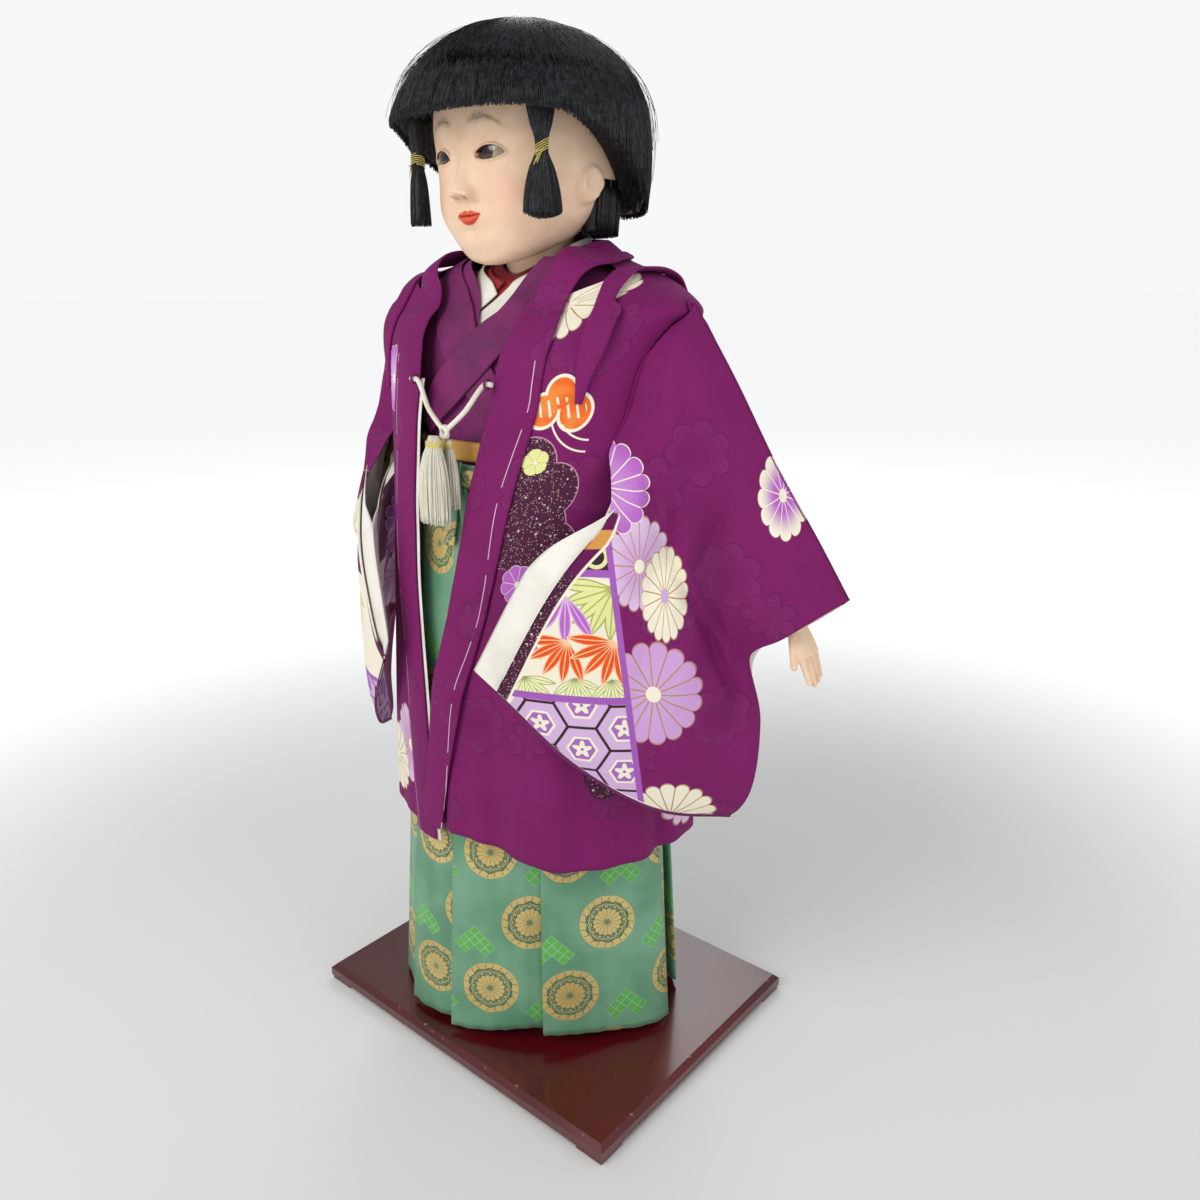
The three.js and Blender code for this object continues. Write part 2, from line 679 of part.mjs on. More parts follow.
// A station round the neck runs from angle, height and radius to the same
const nape = ([aa, za, ra, ab, zb, rb]) => across((t) =>
  polar(mix(ra, rb, t), mix(aa, ab, t) * deg, mix(za, zb, t)));
const mirrored = ([aa, za, ra, ab, zb, rb]) => [-aa, za, ra, -ab, zb, rb];

// Chest stations with one more between each two, so that a lapel follows the chest
const denser = (rows) => rows.flatMap((row, i) => (rows[i + 1]
  ? [row, row.map((x, c) => (x + rows[i + 1][c]) / 2)] : [row]));

const roundNeck = (rows) => [...rows.slice(0, -1), ...rows.slice().reverse().map(mirrored)]
  .map(nape);

const kimonoPoint = (angle, z, grow = 0) => rowPoint(kimonoRows, angle, z, grow);

const frontStations = (rows, sign, lift) => denser(rows).map(([xa, za, xb, zb]) =>
  chest(kimonoPoint, kimonoRows, lift, [sign * xa, za, sign * xb, zb]));

// The kimono's collar runs from the crossing to the neck, round it and down again. Its
// left side lies over its right one at the crossing.
function kimonoCollarGeometry(front, neck) {
  const lift = (p, share) => mix(underLift, overLift,
    (1 - ease(0.3, 0.5, share)) * (1 - ease(560, 590, p.z)));
  return bandSolid([...frontStations(front, 1, overLift), ...roundNeck(neck),
    ...frontStations(front, -1, underLift).reverse()], collarThickness, onto(kimonoRows, lift));
}
const underLift = 1.6;
const overLift = 3.3;
piece('kimono_collar', kimonoCollarGeometry(
  [[-50, 502, -38, 484], [-30, 524, -10, 504], [-8, 549, 14, 524], [10, 566, 34, 545],
    [23, 578, 50, 563]],
  [[62, 596, 42, 70, 588, 66], [90, 608, 39, 90, 599, 60], [135, 614, 44, 135, 599, 56],
    [180, 616, 44.5, 180, 597, 45]]), materials.purpleSilk);

// The collars below it: the side underneath ends at the edge of the side on top
const innerCollar = (over, under, neck, lift) => bandSolid([...frontStations(over, 1, lift),
  ...roundNeck(neck), ...frontStations(under, -1, lift).reverse()], silkWall);
piece('white_collar', innerCollar(
  [[-16, 565, -6, 543], [0, 578, 10, 556], [13, 588, 24, 568]],
  [[3, 579, 18, 566], [13, 588, 24, 568]],
  [[60, 599, 37, 62, 589, 45], [90, 611, 34, 90, 600, 41], [135, 618, 40, 135, 603, 41],
    [180, 620, 40.5, 180, 603, 40.5]], -4.9), materials.whiteSilk);
piece('red_collar', innerCollar(
  [[-10, 577, -2, 555], [2, 586, 12, 566], [14, 592, 24, 576]],
  [[2, 588.5, 15.5, 576.5], [14, 592, 24, 576]],
  [[60, 600, 31, 62, 590, 36], [90, 611, 30.3, 90, 600, 35], [135, 618, 35.4, 135, 603, 36.4],
    [180, 620, 36.2, 180, 603, 36.2]], -7.6), materials.redSilk);

// The haori's collar band runs up one lapel, round the neck and down the other. Below the
// chest the left lapel laps over the right one.
const bandLift = 1;
const lapelLap = 2.4;
function haoriCollarGeometry() {
  const lift = (sign, z) => bandLift + (sign > 0 ? lapelLap * (1 - ease(290, 360, z)) : 0);
  const lapel = (band, sign) => denser(band.filter(([z]) => z < 560)).map(([z, inner, outer]) =>
    chest(haoriPoint, haoriRows, lift(sign, z), [sign * inner, z, sign * outer, z]));
  const neck = [[50, 584, 52, 62, 585, 84], [72, 601, 52, 80, 594, 86], [92, 612, 51, 94, 597, 78],
    [135, 615, 52, 135, 599, 66], [180, 617, 52, 180, 594, 56]];
  return bandSolid([...lapel(leftBand, 1), ...roundNeck(neck), ...lapel(rightBand, -1).reverse()],
    collarThickness, onto(haoriRows, (p) => bandLift + 1.5 * ease(530, 560, p.z)));
}
piece('haori_collar', haoriCollarGeometry(), materials.purpleCrepe);

// Shoulder tucks: a stitched fold over each shoulder, its free edge outward
function tuckGeometry(side) {
  const inner = 92;
  const xAt = (t) => inner + tuckWidth * t;
  const rise = (t) => 0.6 + 4.5 * t * t;
  const faceHeights = [512, 530, 546, 559, 571];
  const over = [-40, -32, -17, 0, 17, 32, 40];
  const onFace = (z, behind) => across((t) => {
    const p = haoriPoint(angleAt(haoriRows, xAt(t), z, behind), z, rise(t));
    return V(side * p.x, p.y, z);
  });
  const onTop = (y) => across((t) => V(side * xAt(t), y,
    shoulderHeightAt(haoriRows, xAt(t), y) + rise(t)));
  const stations = [...faceHeights.map((z) => onFace(z, false)), ...over.map(onTop),
    ...faceHeights.reverse().map((z) => onFace(z, true))];
  return bandSolid(stations, tuckThickness - 1.6, onto(haoriRows, () => 1.1));
}
piece('shoulder_tuck_left', tuckGeometry(1), materials.purpleCrepe);
piece('shoulder_tuck_right', tuckGeometry(-1), materials.purpleCrepe);

// Sleeves: each bag has two layers, joined along its top fold and its bottom. A middle
// surface is blended from its four edge curves, and the layers stand off it.

const sleeveEdges = {
  left: {
    top: [[139, 2, 573], [171, 2, 527], [206, 1, 473], [236, 0, 433], [260, 0, 398]],
    furi: [[139, 2, 573], [139, 0, 545], [137, -6, 505], [131, -44, 462], [101, -88, 405],
      [60, -112, 318]],
    hem: [[60, -112, 318], [110, -86, 268], [152, -48, 234], [184, -8, 224]],
    cuff: [[260, 0, 398], [228, -2, 372], [196, -4, 348], [201, -2, 300], [197, -4, 250],
      [184, -8, 224]],
  },
  right: {
    top: [[-139, 2, 573], [-166, 2, 525], [-194, 1, 470], [-216, 0, 430], [-236, 0, 392]],
    furi: [[-139, 2, 573], [-139, 0, 545], [-137, -6, 505], [-131, -44, 462], [-101, -88, 405],
      [-60, -112, 316]],
    hem: [[-60, -112, 316], [-104, -92, 262], [-140, -62, 222], [-168, -30, 206]],
    cuff: [[-236, 0, 392], [-206, -2, 366], [-176, -4, 344], [-186, -6, 300], [-184, -18, 244],
      [-168, -30, 206]],
  },
};
// w from top fold to bottom, half-gap at the body, at the elbow and at the cuff
const sleeveGap = [[0, 0, 0, 0], [0.05, 17, 13, 10], [0.12, 27, 19, 17], [0.22, 29, 20, 19],
  [0.34, 21, 17, 12], [0.45, 12, 13, 3.8], [0.6, 8, 9, 3.4], [0.8, 6, 6, 3.4],
  [0.94, 4.4, 4.4, 3.4], [1, 0, 0, 0]];
const sleeveSteps = [0, 0.04, 0.12, 0.22, 0.33, 0.44, 0.58, 0.76, 0.92, 1];

function sleeveSurface(edges) {
  const curve = (points) => {
    const line = new THREE.CatmullRomCurve3(points.map(([x, y, z]) => V(x, y, z)));
    return (t) => {
      if (t >= 0) return line.getPointAt(Math.min(t, 1));
      const step = V().subVectors(line.getPointAt(0.03), line.getPointAt(0));
      return line.getPointAt(0).addScaledVector(step, t / 0.03);
    };
  };
  const [top, furi, hem, cuff] = [edges.top, edges.furi, edges.hem, edges.cuff].map(curve);
  return (u, w) => V()
    .addScaledVector(top(u), 1 - w).addScaledVector(hem(u), w)
    .addScaledVector(furi(w), 1 - u).addScaledVector(cuff(w), u)
    .addScaledVector(top(0), -(1 - u) * (1 - w)).addScaledVector(top(1), -u * (1 - w))
    .addScaledVector(hem(0), -(1 - u) * w).addScaledVector(hem(1), -u * w);
}

// u from the body to the cuff
const sleeveRows = [0, 0.12, 0.26, 0.41, 0.57, 0.73, 0.87];
function sleeveGeometry(edges, { wall, inset, shown }) {
  const middle = sleeveSurface(edges);
  const normal = (u, w) => {
    const e = 0.02;
    const lo = Math.max(w - e, 0);
    const du = V().subVectors(middle(Math.min(u + e, 1), w), middle(Math.max(u - e, 0), w));
    const dw = V().subVectors(middle(u, Math.min(w + e, 1)), middle(u, lo));
    const n = V().crossVectors(du, dw).normalize();
    return n.y > 0 ? n.negate() : n;
  };
  const gap = (u, w) => {
    const [body, elbow, cuff] = spline(sleeveGap, w);
    return u < 0.4 ? mix(body, elbow, ease(0, 0.4, u)) : mix(elbow, cuff, ease(0.4, 1, u));
  };
  const rows = [...(shown > 0 ? [-shown] : []), ...sleeveRows, 0.94 - inset / 120,
    1 - inset / 100];
  const rings = (depth) => rows.map((row) => {
    const draw = depth / 250;
    const front = [];
    const back = [];
    sleeveSteps.forEach((w, k) => {
      const u = row < 0 ? row * w * w - 0.01 : row;
      const down = mix(draw, 1 - draw, w);
      const g = (k === 0 || w === 1) ? 0 : Math.max(gap(Math.max(u, 0), w) - depth, 0.3);
      const p = middle(u, down);
      const n = normal(Math.max(u, 0), down);
      front.push(p.clone().addScaledVector(n, g));
      back.push(p.clone().addScaledVector(n, -g));
    });
    return [...front, ...back.slice(1, -1).reverse()];
  });
  return shellSolid(rings(inset), rings(inset + wall));
}

for (const arm of arms) {
  const edges = sleeveEdges[arm.name];
  piece(`haori_sleeve_${arm.name}`, sleeveGeometry(edges,
    { wall: clothWall, inset: 0, shown: 0 }), materials.purpleCrepe);
  piece(`kimono_sleeve_${arm.name}`, sleeveGeometry(edges,
    { wall: silkWall * 0.7, inset: clothWall + 0.9, shown: 0.08 }), materials.whiteSilk);

  piece(`arm_${arm.name}`, capsule(arm.pivot, arm.wrist, armRadius, wristRadius, 14,
    [80, 55, arm.angle, 0]), materials.straw);
  const palm = loftSolid([[0, 6, 7], [-6, 6.5, 9], [-15, 6, 11], [-handLength, 5, 11]]
    .map(([z, x, y]) => ellipse(V(0, 0, z), x, y, 14)));
  const fingers = [0, 1, 2, 3].map((k) => {
    const y = (k - 1.5) * 2 * fingerRadius;
    const reach = fingerLength - 2.5 * Math.abs(k - 1.2);
    return capsule(V(0, y, 2 - handLength), V(-arm.side * 3, y * 0.9, -handLength - reach),
      fingerRadius + 0.2, fingerRadius - 0.5, 6);
  });
  const thumb = capsule(V(0, -8, -9), V(-arm.side * 5, -13, -handLength - 3), 3.2, 2.5, 8);
  const hand = piece(`hand_${arm.name}`, join(palm, ...fingers, thumb), materials.shellWhite);
  hand.rotation.y = -arm.side * arm.angle * deg;
  hand.position.copy(arm.wrist).addScaledVector(arm.direction, wristRadius + fit);
}

// Obi, then the hakama: waistband, pleated front and back, back board and tied bow

const ringShell = (rows, heights, growIn, growOut, n = 32) => {
  const ring = (z, grow) => Array.from({ length: n }, (_, j) =>
    rowPoint(rows, (j / n) * 2 * Math.PI, z, grow));
  return shellSolid(heights.map((z) => ring(z, growOut)), heights.map((z) => ring(z, growIn)));
};
const obiTop = 481;
const obiOuter = 3.6;
piece('obi', ringShell(kimonoRows, [hakamaTop + fit, obiTop], 2, obiOuter), materials.goldBrocade);

// angle from the front in degrees, radius of the hem
const hemRadius = [[-180, 112], [-146, 122], [-120, 126], [-90, 128], [-57, 131], [-28, 121],
  [-3, 108], [22, 99], [42, 99], [70, 106], [95, 128], [115, 125], [133, 119], [146, 124],
  [180, 112]];
const waistPlan = [89, 77.5, 69];
const frontPleats = [-99, -74, -52, -28, -3, 42, 97];
const backPleats = [82, 122, 158, 202, 238, 278];

function hakamaPoint(turn, z, pleats, tuckIn) {
  const down = ((hakamaTop - z) / (hakamaTop - hemHeight)) ** 0.9;
  const wrapped = ((turn + 180) % 360 + 360) % 360 - 180;
  const [hem] = spline(hemRadius, wrapped);
  const waist = planRadius(...waistPlan, turn * deg, bodySquareness);
  let k = 0;
  while (k < pleats.length - 2 && turn > pleats[k + 1]) k += 1;
  const along = (turn - pleats[k]) / (pleats[k + 1] - pleats[k]);
  const hollow = 13 * bell(wrapped, 45, 32) * bell(z, 190, 90);
  const r = mix(waist, hem, down) - hollow - mix(1.5, pleatDepth + 3, down) * along
    - mix(Math.min(tuckIn, 3), tuckIn, down);
  return polar(r, turn * deg, z);
}

function hakamaSheet(pleats, tuckIn) {
  const columns = [];
  for (let k = 0; k < pleats.length - 1; k += 1) {
    const [a, b] = [pleats[k], pleats[k + 1]];
    const count = Math.max(2, Math.round((b - a) / 16));
    for (let i = 0; i <= count; i += 1) columns.push(mix(a + 0.9, b - 0.9, i / count));
  }
  const last = columns.length - 1;
  return sheetSolid((u, v) => {
    const turn = columns[Math.round(u * last)];
    const rise = 8 * bell(turn, 40, 30);
    const z = mix(hemHeight + rise, hakamaTop - 1, 1 - (1 - v) ** 1.2);
    return hakamaPoint(turn, z, pleats, tuckIn);
  }, last, 8, clothWall);
}
piece('hakama_front', hakamaSheet(frontPleats, 0), materials.greenBrocade);
piece('hakama_back', hakamaSheet(backPleats, 13.4), materials.greenBrocade);

const bandHeight = 16;
const waistRing = (z, grow) => Array.from({ length: 40 }, (_, j) => {
  const angle = (j / 40) * 2 * Math.PI;
  return polar(planRadius(...waistPlan, angle) + grow, angle, z);
});
// height, clearance round the waist: the pleats spread below it
const waistEdges = [[hakamaTop - bandHeight, 4], [hakamaTop, 1.2]];
piece('hakama_waistband', shellSolid(waistEdges.map(([z, grow]) => waistRing(z, grow + clothWall)),
  waistEdges.map(([z, grow]) => waistRing(z, grow))), materials.greenBrocade);

function bowGeometry() {
  const strap = (w, h, d) => new THREE.BoxGeometry(w, d, h);
  const bar = strap(54, 15, 3);
  const knot = strap(17, 24, 5).translate(0, -1, 0);
  const ends = [-1, 1].map((s) => strap(13, 46, 2.2).rotateY(s * -7 * deg)
    .translate(s * 8, 0.5, -28));
  return join(bar, knot, ...ends);
}
piece('hakama_bow', bowGeometry().translate(0, -(waistPlan[1] + 7.2), hakamaTop - 9),
  materials.greenBrocade);

const backBoardThickness = 2.5;
const backBoard = new THREE.ExtrudeGeometry(new THREE.Shape([[-36, 0], [36, 0], [27, 36],
  [-27, 36]].map(([x, z]) => new THREE.Vector2(x, z))),
{ depth: backBoardThickness, bevelEnabled: false });
const obiBack = rowPoint(kimonoRows, Math.PI, obiTop, obiOuter).y;
piece('hakama_back_board', backBoard.rotateX(Math.PI / 2)
  .translate(0, obiBack + fit + backBoardThickness, hakamaTop - 1 + fit), materials.greenBrocade);

// Fastening: a loop on each lapel, two cords meeting in a knot, and two tassels

const lapelX = { left: 38, right: -35 };
const loopRadius = cordDiameter / 2 + loopThread + loopEase;
const lapelY = Math.min(...Object.values(lapelX).map((x) =>
  haoriPoint(angleAt(haoriRows, x, loopHeight), loopHeight).y));
const loopY = lapelY - bandLift - collarThickness - loopRadius - loopThread - fit;
const knotAt = V(2, -95, 490);
for (const name of ['left', 'right']) {
  const at = V(lapelX[name], loopY, loopHeight);
  const outward = Math.sign(at.x);
  const ring = new THREE.TorusGeometry(loopRadius, loopThread, 5, 12);
  piece(`himo_loop_${name}`, ring.rotateY(Math.PI / 2).translate(at.x, at.y, at.z),
    materials.purpleSilk);
  const route = [at.clone().add(V(outward * 4, 0, 0)), at.clone().add(V(-outward * 3, 0, -0.6)),
    at.clone().lerp(knotAt, 0.5).add(V(0, -1, -2))];
  const inward = V().subVectors(route[2], knotAt).normalize();
  route.push(knotAt.clone().addScaledVector(inward, knotRadius + fit));
  const section = new THREE.Shape(Array.from({ length: 8 }, (_, k) => new THREE.Vector2(
    (cordDiameter / 2) * Math.cos(k * 45 * deg), (cordDiameter / 2) * Math.sin(k * 45 * deg))));
  piece(`himo_cord_${name}`, new THREE.ExtrudeGeometry(section,
    { steps: 9, extrudePath: new THREE.CatmullRomCurve3(route) }), materials.paleCord);
}
piece('himo_knot', new THREE.SphereGeometry(knotRadius, 12, 8).translate(knotAt.x, knotAt.y, knotAt.z),
  materials.paleCord);

// share of the length below the head, radius as a share of the greatest
const tasselRows = [[0, 0.4], [0.08, 0.55], [0.25, 0.8], [0.55, 1], [0.85, 0.98], [1, 0.7]];
// A tassel leans by `lean` toward the knot at its head
const tassel = (x, y, top, length, rx, ry, lean) => loftSolid(tasselRows.map(([t, share]) =>
  ellipse(V(x, y + lean * (1 - t) ** 3, top - length * t), rx * share, ry * share, 16)));
piece('tassel_front', tassel(0, knotAt.y - 10.2, knotAt.z - 2, tasselLength, tasselRadius, 7.4, 2.2),
  materials.paleCord);
piece('tassel_back', tassel(3.5, knotAt.y + 1.5, knotAt.z - knotRadius - fit, tasselLength * 0.8,
  8.5, 4, 0), materials.paleCord);

export default root;
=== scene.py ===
# %% [markdown]
# # A child doll in display dress
# The doll stands about three quarters of a metre high on a lacquered board. It wears a
# purple haori over a crossed kimono and a pleated green hakama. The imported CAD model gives
# every place and joint, and this lesson builds the finished surfaces round it.

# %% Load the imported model
import math
import bmesh
import bpy
import numpy as np
from mathutils import Matrix


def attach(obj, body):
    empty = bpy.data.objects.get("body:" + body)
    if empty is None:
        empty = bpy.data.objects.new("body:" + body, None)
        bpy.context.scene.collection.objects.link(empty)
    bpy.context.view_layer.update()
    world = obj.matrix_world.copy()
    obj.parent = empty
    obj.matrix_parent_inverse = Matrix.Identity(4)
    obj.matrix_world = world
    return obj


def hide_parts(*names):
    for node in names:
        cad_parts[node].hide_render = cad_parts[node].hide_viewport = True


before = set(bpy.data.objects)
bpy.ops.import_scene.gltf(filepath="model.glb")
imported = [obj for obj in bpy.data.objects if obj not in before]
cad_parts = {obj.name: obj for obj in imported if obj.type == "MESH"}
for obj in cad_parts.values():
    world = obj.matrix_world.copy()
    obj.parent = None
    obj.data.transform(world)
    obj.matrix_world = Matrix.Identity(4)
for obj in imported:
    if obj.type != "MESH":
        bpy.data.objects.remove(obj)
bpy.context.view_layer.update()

# %% [markdown]
# ## Camera
# The camera stands to the doll's left front, a little below its chin, and looks down at
# the board. Its place is a point and three angles, so its matrix is written out from them:
# the columns are right, up and back.

# %% Camera
CAMERA_AT = (0.51779, -0.54284, 0.59423)
CAMERA_YAW, CAMERA_PITCH, CAMERA_ROLL = np.radians((40.228, 17.509, -0.433))
LENS, SENSOR = 29.72, 36


def stand(axes, at):
    """The matrix whose columns are three axes and a place."""
    rows = np.stack(axes, 1)
    return Matrix([(*row, at[k]) for k, row in enumerate(rows)] + [(0, 0, 0, 1)])


def camera_matrix(at, yaw, pitch, roll):
    """Forward lies at the yaw and pitch; right and up are turned about it by the roll."""
    forward = np.array([-math.sin(yaw) * math.cos(pitch), math.cos(yaw) * math.cos(pitch),
                        -math.sin(pitch)])
    level = np.array([math.cos(yaw), math.sin(yaw), 0])
    above = np.cross(level, forward)
    right = level * math.cos(roll) + above * math.sin(roll)
    up = above * math.cos(roll) - level * math.sin(roll)
    return stand([right, up, -forward], at)


lens = bpy.data.cameras.new("camera")
lens.lens, lens.sensor_width = LENS, SENSOR
camera = bpy.data.objects.new("camera", lens)
bpy.context.scene.collection.objects.link(camera)
camera.matrix_world = camera_matrix(CAMERA_AT, CAMERA_YAW, CAMERA_PITCH, CAMERA_ROLL)
bpy.context.scene.camera = camera
print("camera at", CAMERA_AT)

# %% [markdown]
# ## Tables, curves and sections
# Most shapes here are sections whose sizes change with height. A small table holds a few
# heights, and a cubic through its rows gives every height between. The doll's own heights
# are millimetres above the board's top, so one function turns them into the model's metres.

# %% Tables and sections
BOARD_TOP = 11.5
MM = 0.001


def metres(points):
    """Millimetres above the board's top to metres above the board's underside."""
    return (np.asarray(points, float) + (0, 0, BOARD_TOP)) * MM


def table(rows, key):
    """Cubic through the rows, whose first column is the key. The slope at a row is that of
    the line between its two neighbours."""
    rows = np.asarray(rows, float)
    x, y = rows[:, 0], rows[:, 1:]
    key = np.clip(np.asarray(key, float), x[0], x[-1])
    i = np.clip(np.searchsorted(x, key) - 1, 0, len(x) - 2)
    before, after = np.maximum(i - 1, 0), np.minimum(i + 2, len(x) - 1)
    span = (x[i + 1] - x[i])[..., None]
    t = (key - x[i])[..., None] / span
    slope = (y[i + 1] - y[before]) / (x[i + 1] - x[before])[..., None]
    next_slope = (y[after] - y[i]) / (x[after] - x[i])[..., None]
    out = (y[i] + (y[i + 1] - y[i]) * t * t * (3 - 2 * t)
           + span * t * (1 - t) * (slope * (1 - t) - next_slope * t))
    return np.moveaxis(out, -1, 0)


def mix(a, b, t):
    return a + (b - a) * t


def ease(low, high, x):
    """0 below low, 1 above high, and a smooth step between."""
    t = np.clip((x - low) / (high - low), 0, 1)
    return t * t * (3 - 2 * t)


def bell(x, middle, width):
    """1 at the middle, falling away as the exponential of minus the distance squared."""
    return np.exp(-(((x - middle) / width) ** 2))


def plan_radius(a, f, b, angle, square=2.6):
    """A squared-off oval: half-width a, front depth f, back depth b. The angle is 0 at
    the front and grows toward the doll's left."""
    across = np.abs(np.sin(angle)) / a
    along = np.abs(np.cos(angle)) / np.where(np.cos(angle) > 0, f, b)
    return (across ** square + along ** square) ** (-1 / square)


def polar(r, angle, z):
    r, angle, z = np.broadcast_arrays(r, angle, z)
    return np.stack([r * np.sin(angle), -r * np.cos(angle), z], -1)


def unit(v):
    return v / np.maximum(np.linalg.norm(v, axis=-1, keepdims=True), 1e-9)


def circle(count):
    """Angles once round, of which the last repeats the first."""
    return np.linspace(0, 2 * np.pi, count)


def run_along(line):
    """Distance from a line's start to each of its points."""
    return np.r_[0, np.cumsum(np.linalg.norm(np.diff(line, axis=0), axis=1))]


def line_length(line):
    return float(np.linalg.norm(np.diff(line, axis=0), axis=1).sum())


def smooth_line(points, samples=60):
    """Centripetal curve through the points: each tangent weighs its neighbours by the
    square root of their distances. Each span gets the same number of samples."""
    p = np.asarray(points, float)
    p = np.vstack([2 * p[0] - p[1], p, 2 * p[-1] - p[-2]])
    gap = np.sqrt(np.linalg.norm(np.diff(p, axis=0), axis=1))[:, None]
    d0, d1, d2 = gap[:-2], gap[1:-1], gap[2:]
    a, b, c, d = p[:-3], p[1:-2], p[2:-1], p[3:]
    leave = ((b - a) / d0 - (c - a) / (d0 + d1) + (c - b) / d1) * d1
    arrive = ((c - b) / d1 - (d - b) / (d1 + d2) + (d - c) / d2) * d1
    t = np.linspace(0, 1, samples, endpoint=False)[None, :, None]
    b, c, leave, arrive = (x[:, None] for x in (b, c, leave, arrive))
    out = (b * (2 * t ** 3 - 3 * t ** 2 + 1) + leave * (t ** 3 - 2 * t ** 2 + t)
           + c * (3 * t ** 2 - 2 * t ** 3) + arrive * (t ** 3 - t ** 2))
    return np.vstack([out.reshape(-1, p.shape[1]), p[-2]])


def by_length(line):
    """A function that gives the point at each share of the line's length."""
    run = run_along(line)
    run /= run[-1]
    return lambda t: np.stack([np.interp(t, run, line[:, k]) for k in range(3)], -1)


print("height of the board's top", BOARD_TOP, "mm")

# %% [markdown]
# ## Meshes from whole arrays
# A surface is a grid of points. Its faces, its cloth coordinates and its values are all
# worked out as arrays and handed to the mesh at once. A tube carries a small ring along
# a centre line, and one call makes thousands of hairs.

# %% Mesh helpers
WELD = 1e-6
pieces, slots = {}, {}


def finish_piece(name, mesh, body, finish, stands_for=None):
    """Adds a piece to a body. It replaces the node of its own name unless it is told another, and
    its finishes go into its material slots, the outer one first."""
    own_name = "_".join(name.split())
    piece = bpy.data.objects.new(own_name, mesh)
    bpy.context.scene.collection.objects.link(piece)
    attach(piece, body)
    if stands_for or own_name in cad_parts:
        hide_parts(stands_for or own_name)
    finishes = finish if isinstance(finish, tuple) else (finish,)
    for made in finishes:
        mesh.materials.append(made)
    pieces[name] = piece
    return piece


def raw_mesh(name, points, faces, corner_uv=None, values=None):
    mesh = bpy.data.meshes.new(name)
    mesh.from_pydata(metres(points).tolist(), [], faces)
    if corner_uv is not None:
        layer = mesh.uv_layers.new(name="cloth")
        layer.uv.foreach_set("vector", np.asarray(corner_uv, np.float32).ravel())
    for key, value in (values or {}).items():
        attribute = mesh.attributes.new(key, "FLOAT", "POINT")
        attribute.data.foreach_set("value", np.asarray(value, np.float32).ravel())
    mesh.polygons.foreach_set("use_smooth", np.ones(len(mesh.polygons), bool))
    return mesh


def laid(across, along):
    """Cloth coordinates from what runs across and what runs along."""
    return np.stack(np.broadcast_arrays(across, along), -1)


def tipped(grid, tips=None):
    """A grid with both ends drawn to points, which are the middles of its end rows unless
    they are given."""
    tips = (grid[0].mean(0), grid[-1].mean(0)) if tips is None else tips
    first, last = (np.broadcast_to(tip, (1, *grid.shape[1:])) for tip in tips)
    return np.concatenate([first, grid, last])


def join_doubles(work, near):
    bmesh.ops.remove_doubles(work, verts=work.verts, dist=near)


def surface(name, points, body, finish, uv=None, wrap=False, inside=(0, 0, 400), keep=None,
            values=None, weld=False, wall=0, **kept):
    """Quads between neighbours of a grid of points. With wrap the last column repeats the
    first and is joined to it. Faces are turned to look away from the point inside. A wall
    is made inward, and a second finish goes on its inner face."""
    rows, cols = points.shape[:2]
    i, j = np.mgrid[0:rows - 1, 0:cols - 1]
    corner = np.stack([i * cols + j, i * cols + j + 1, (i + 1) * cols + j + 1,
                       (i + 1) * cols + j], -1).reshape(-1, 4)
    if keep is not None:
        corner = corner[keep.ravel()[corner].all(1)]
    flat = points.reshape(-1, 3)
    a, b, c, d = (flat[corner[:, k]] for k in range(4))
    if (np.cross(c - a, d - b) * ((a + c) / 2 - np.asarray(inside))).sum() < 0:
        corner = corner[:, ::-1]
    vertex = corner
    if wrap:
        vertex = (corner // cols) * cols + (corner % cols) % (cols - 1)
    used, vertex_index = np.unique(vertex, return_inverse=True)
    faces = vertex_index.reshape(-1, 4).tolist()
    corner_uv = None if uv is None else uv.reshape(-1, 2)[corner.ravel()]
    picked = {key: np.broadcast_to(value, (rows, cols)).ravel()[used]
              for key, value in (values or {}).items()}
    mesh = raw_mesh(name, flat[used], faces, corner_uv, picked)
    if weld:
        work = bmesh.new()
        work.from_mesh(mesh)
        join_doubles(work, WELD)
        work.to_mesh(mesh)
        work.free()
    piece = finish_piece(name, mesh, body, finish, **kept)
    if wall:
        solid = piece.modifiers.new("wall", "SOLIDIFY")
        solid.thickness, solid.offset = wall * MM, -1
        solid.material_offset = len(mesh.materials) - 1
    return piece


def closed(name, points, body, finish, **kept):
    """A surface that wraps and whose repeated points, as at its tips, are joined."""
    return surface(name, points, body, finish, wrap=True, weld=True, **kept)


TUBE_SIDES = 3


def tubes(name, lines, radius, body, finish, **kept):
    """Closed tubes along centre lines: array (tubes, points, 3). Each ring lies across the
    line's direction, and both ends are capped."""
    lines = np.asarray(lines, float)
    count, steps = lines.shape[:2]
    radius = np.broadcast_to(radius, (count, steps))[..., None, None]
    along = unit(np.gradient(lines, axis=1))
    helper = np.where(np.abs(along[..., 2:3]) > 0.8, (0.0, 1.0, 0.3), (0.0, 0.0, 1.0))
    side = unit(np.cross(along, helper))
    other = np.cross(along, side)
    sides = TUBE_SIDES
    turn = circle(sides + 1)[:-1, None]
    ring = (side[..., None, :] * np.cos(turn) + other[..., None, :] * np.sin(turn)) * radius
    points = (lines[..., None, :] + ring).reshape(-1, 3)
    c, s, k = np.mgrid[0:count, 0:steps - 1, 0:sides]
    base, nxt = (c * steps + s) * sides, (k + 1) % sides
    quads = np.stack([base + k, base + nxt, base + sides + nxt, base + sides + k], -1)
    ends = np.arange(count)[:, None] * steps * sides
    first = ends + np.arange(sides)[::-1]
    last = ends + (steps - 1) * sides + np.arange(sides)
    faces = quads.reshape(-1, 4).tolist() + first.tolist() + last.tolist()
    return finish_piece(name, raw_mesh(name, points, faces), body, finish, **kept)


print("helpers ready")

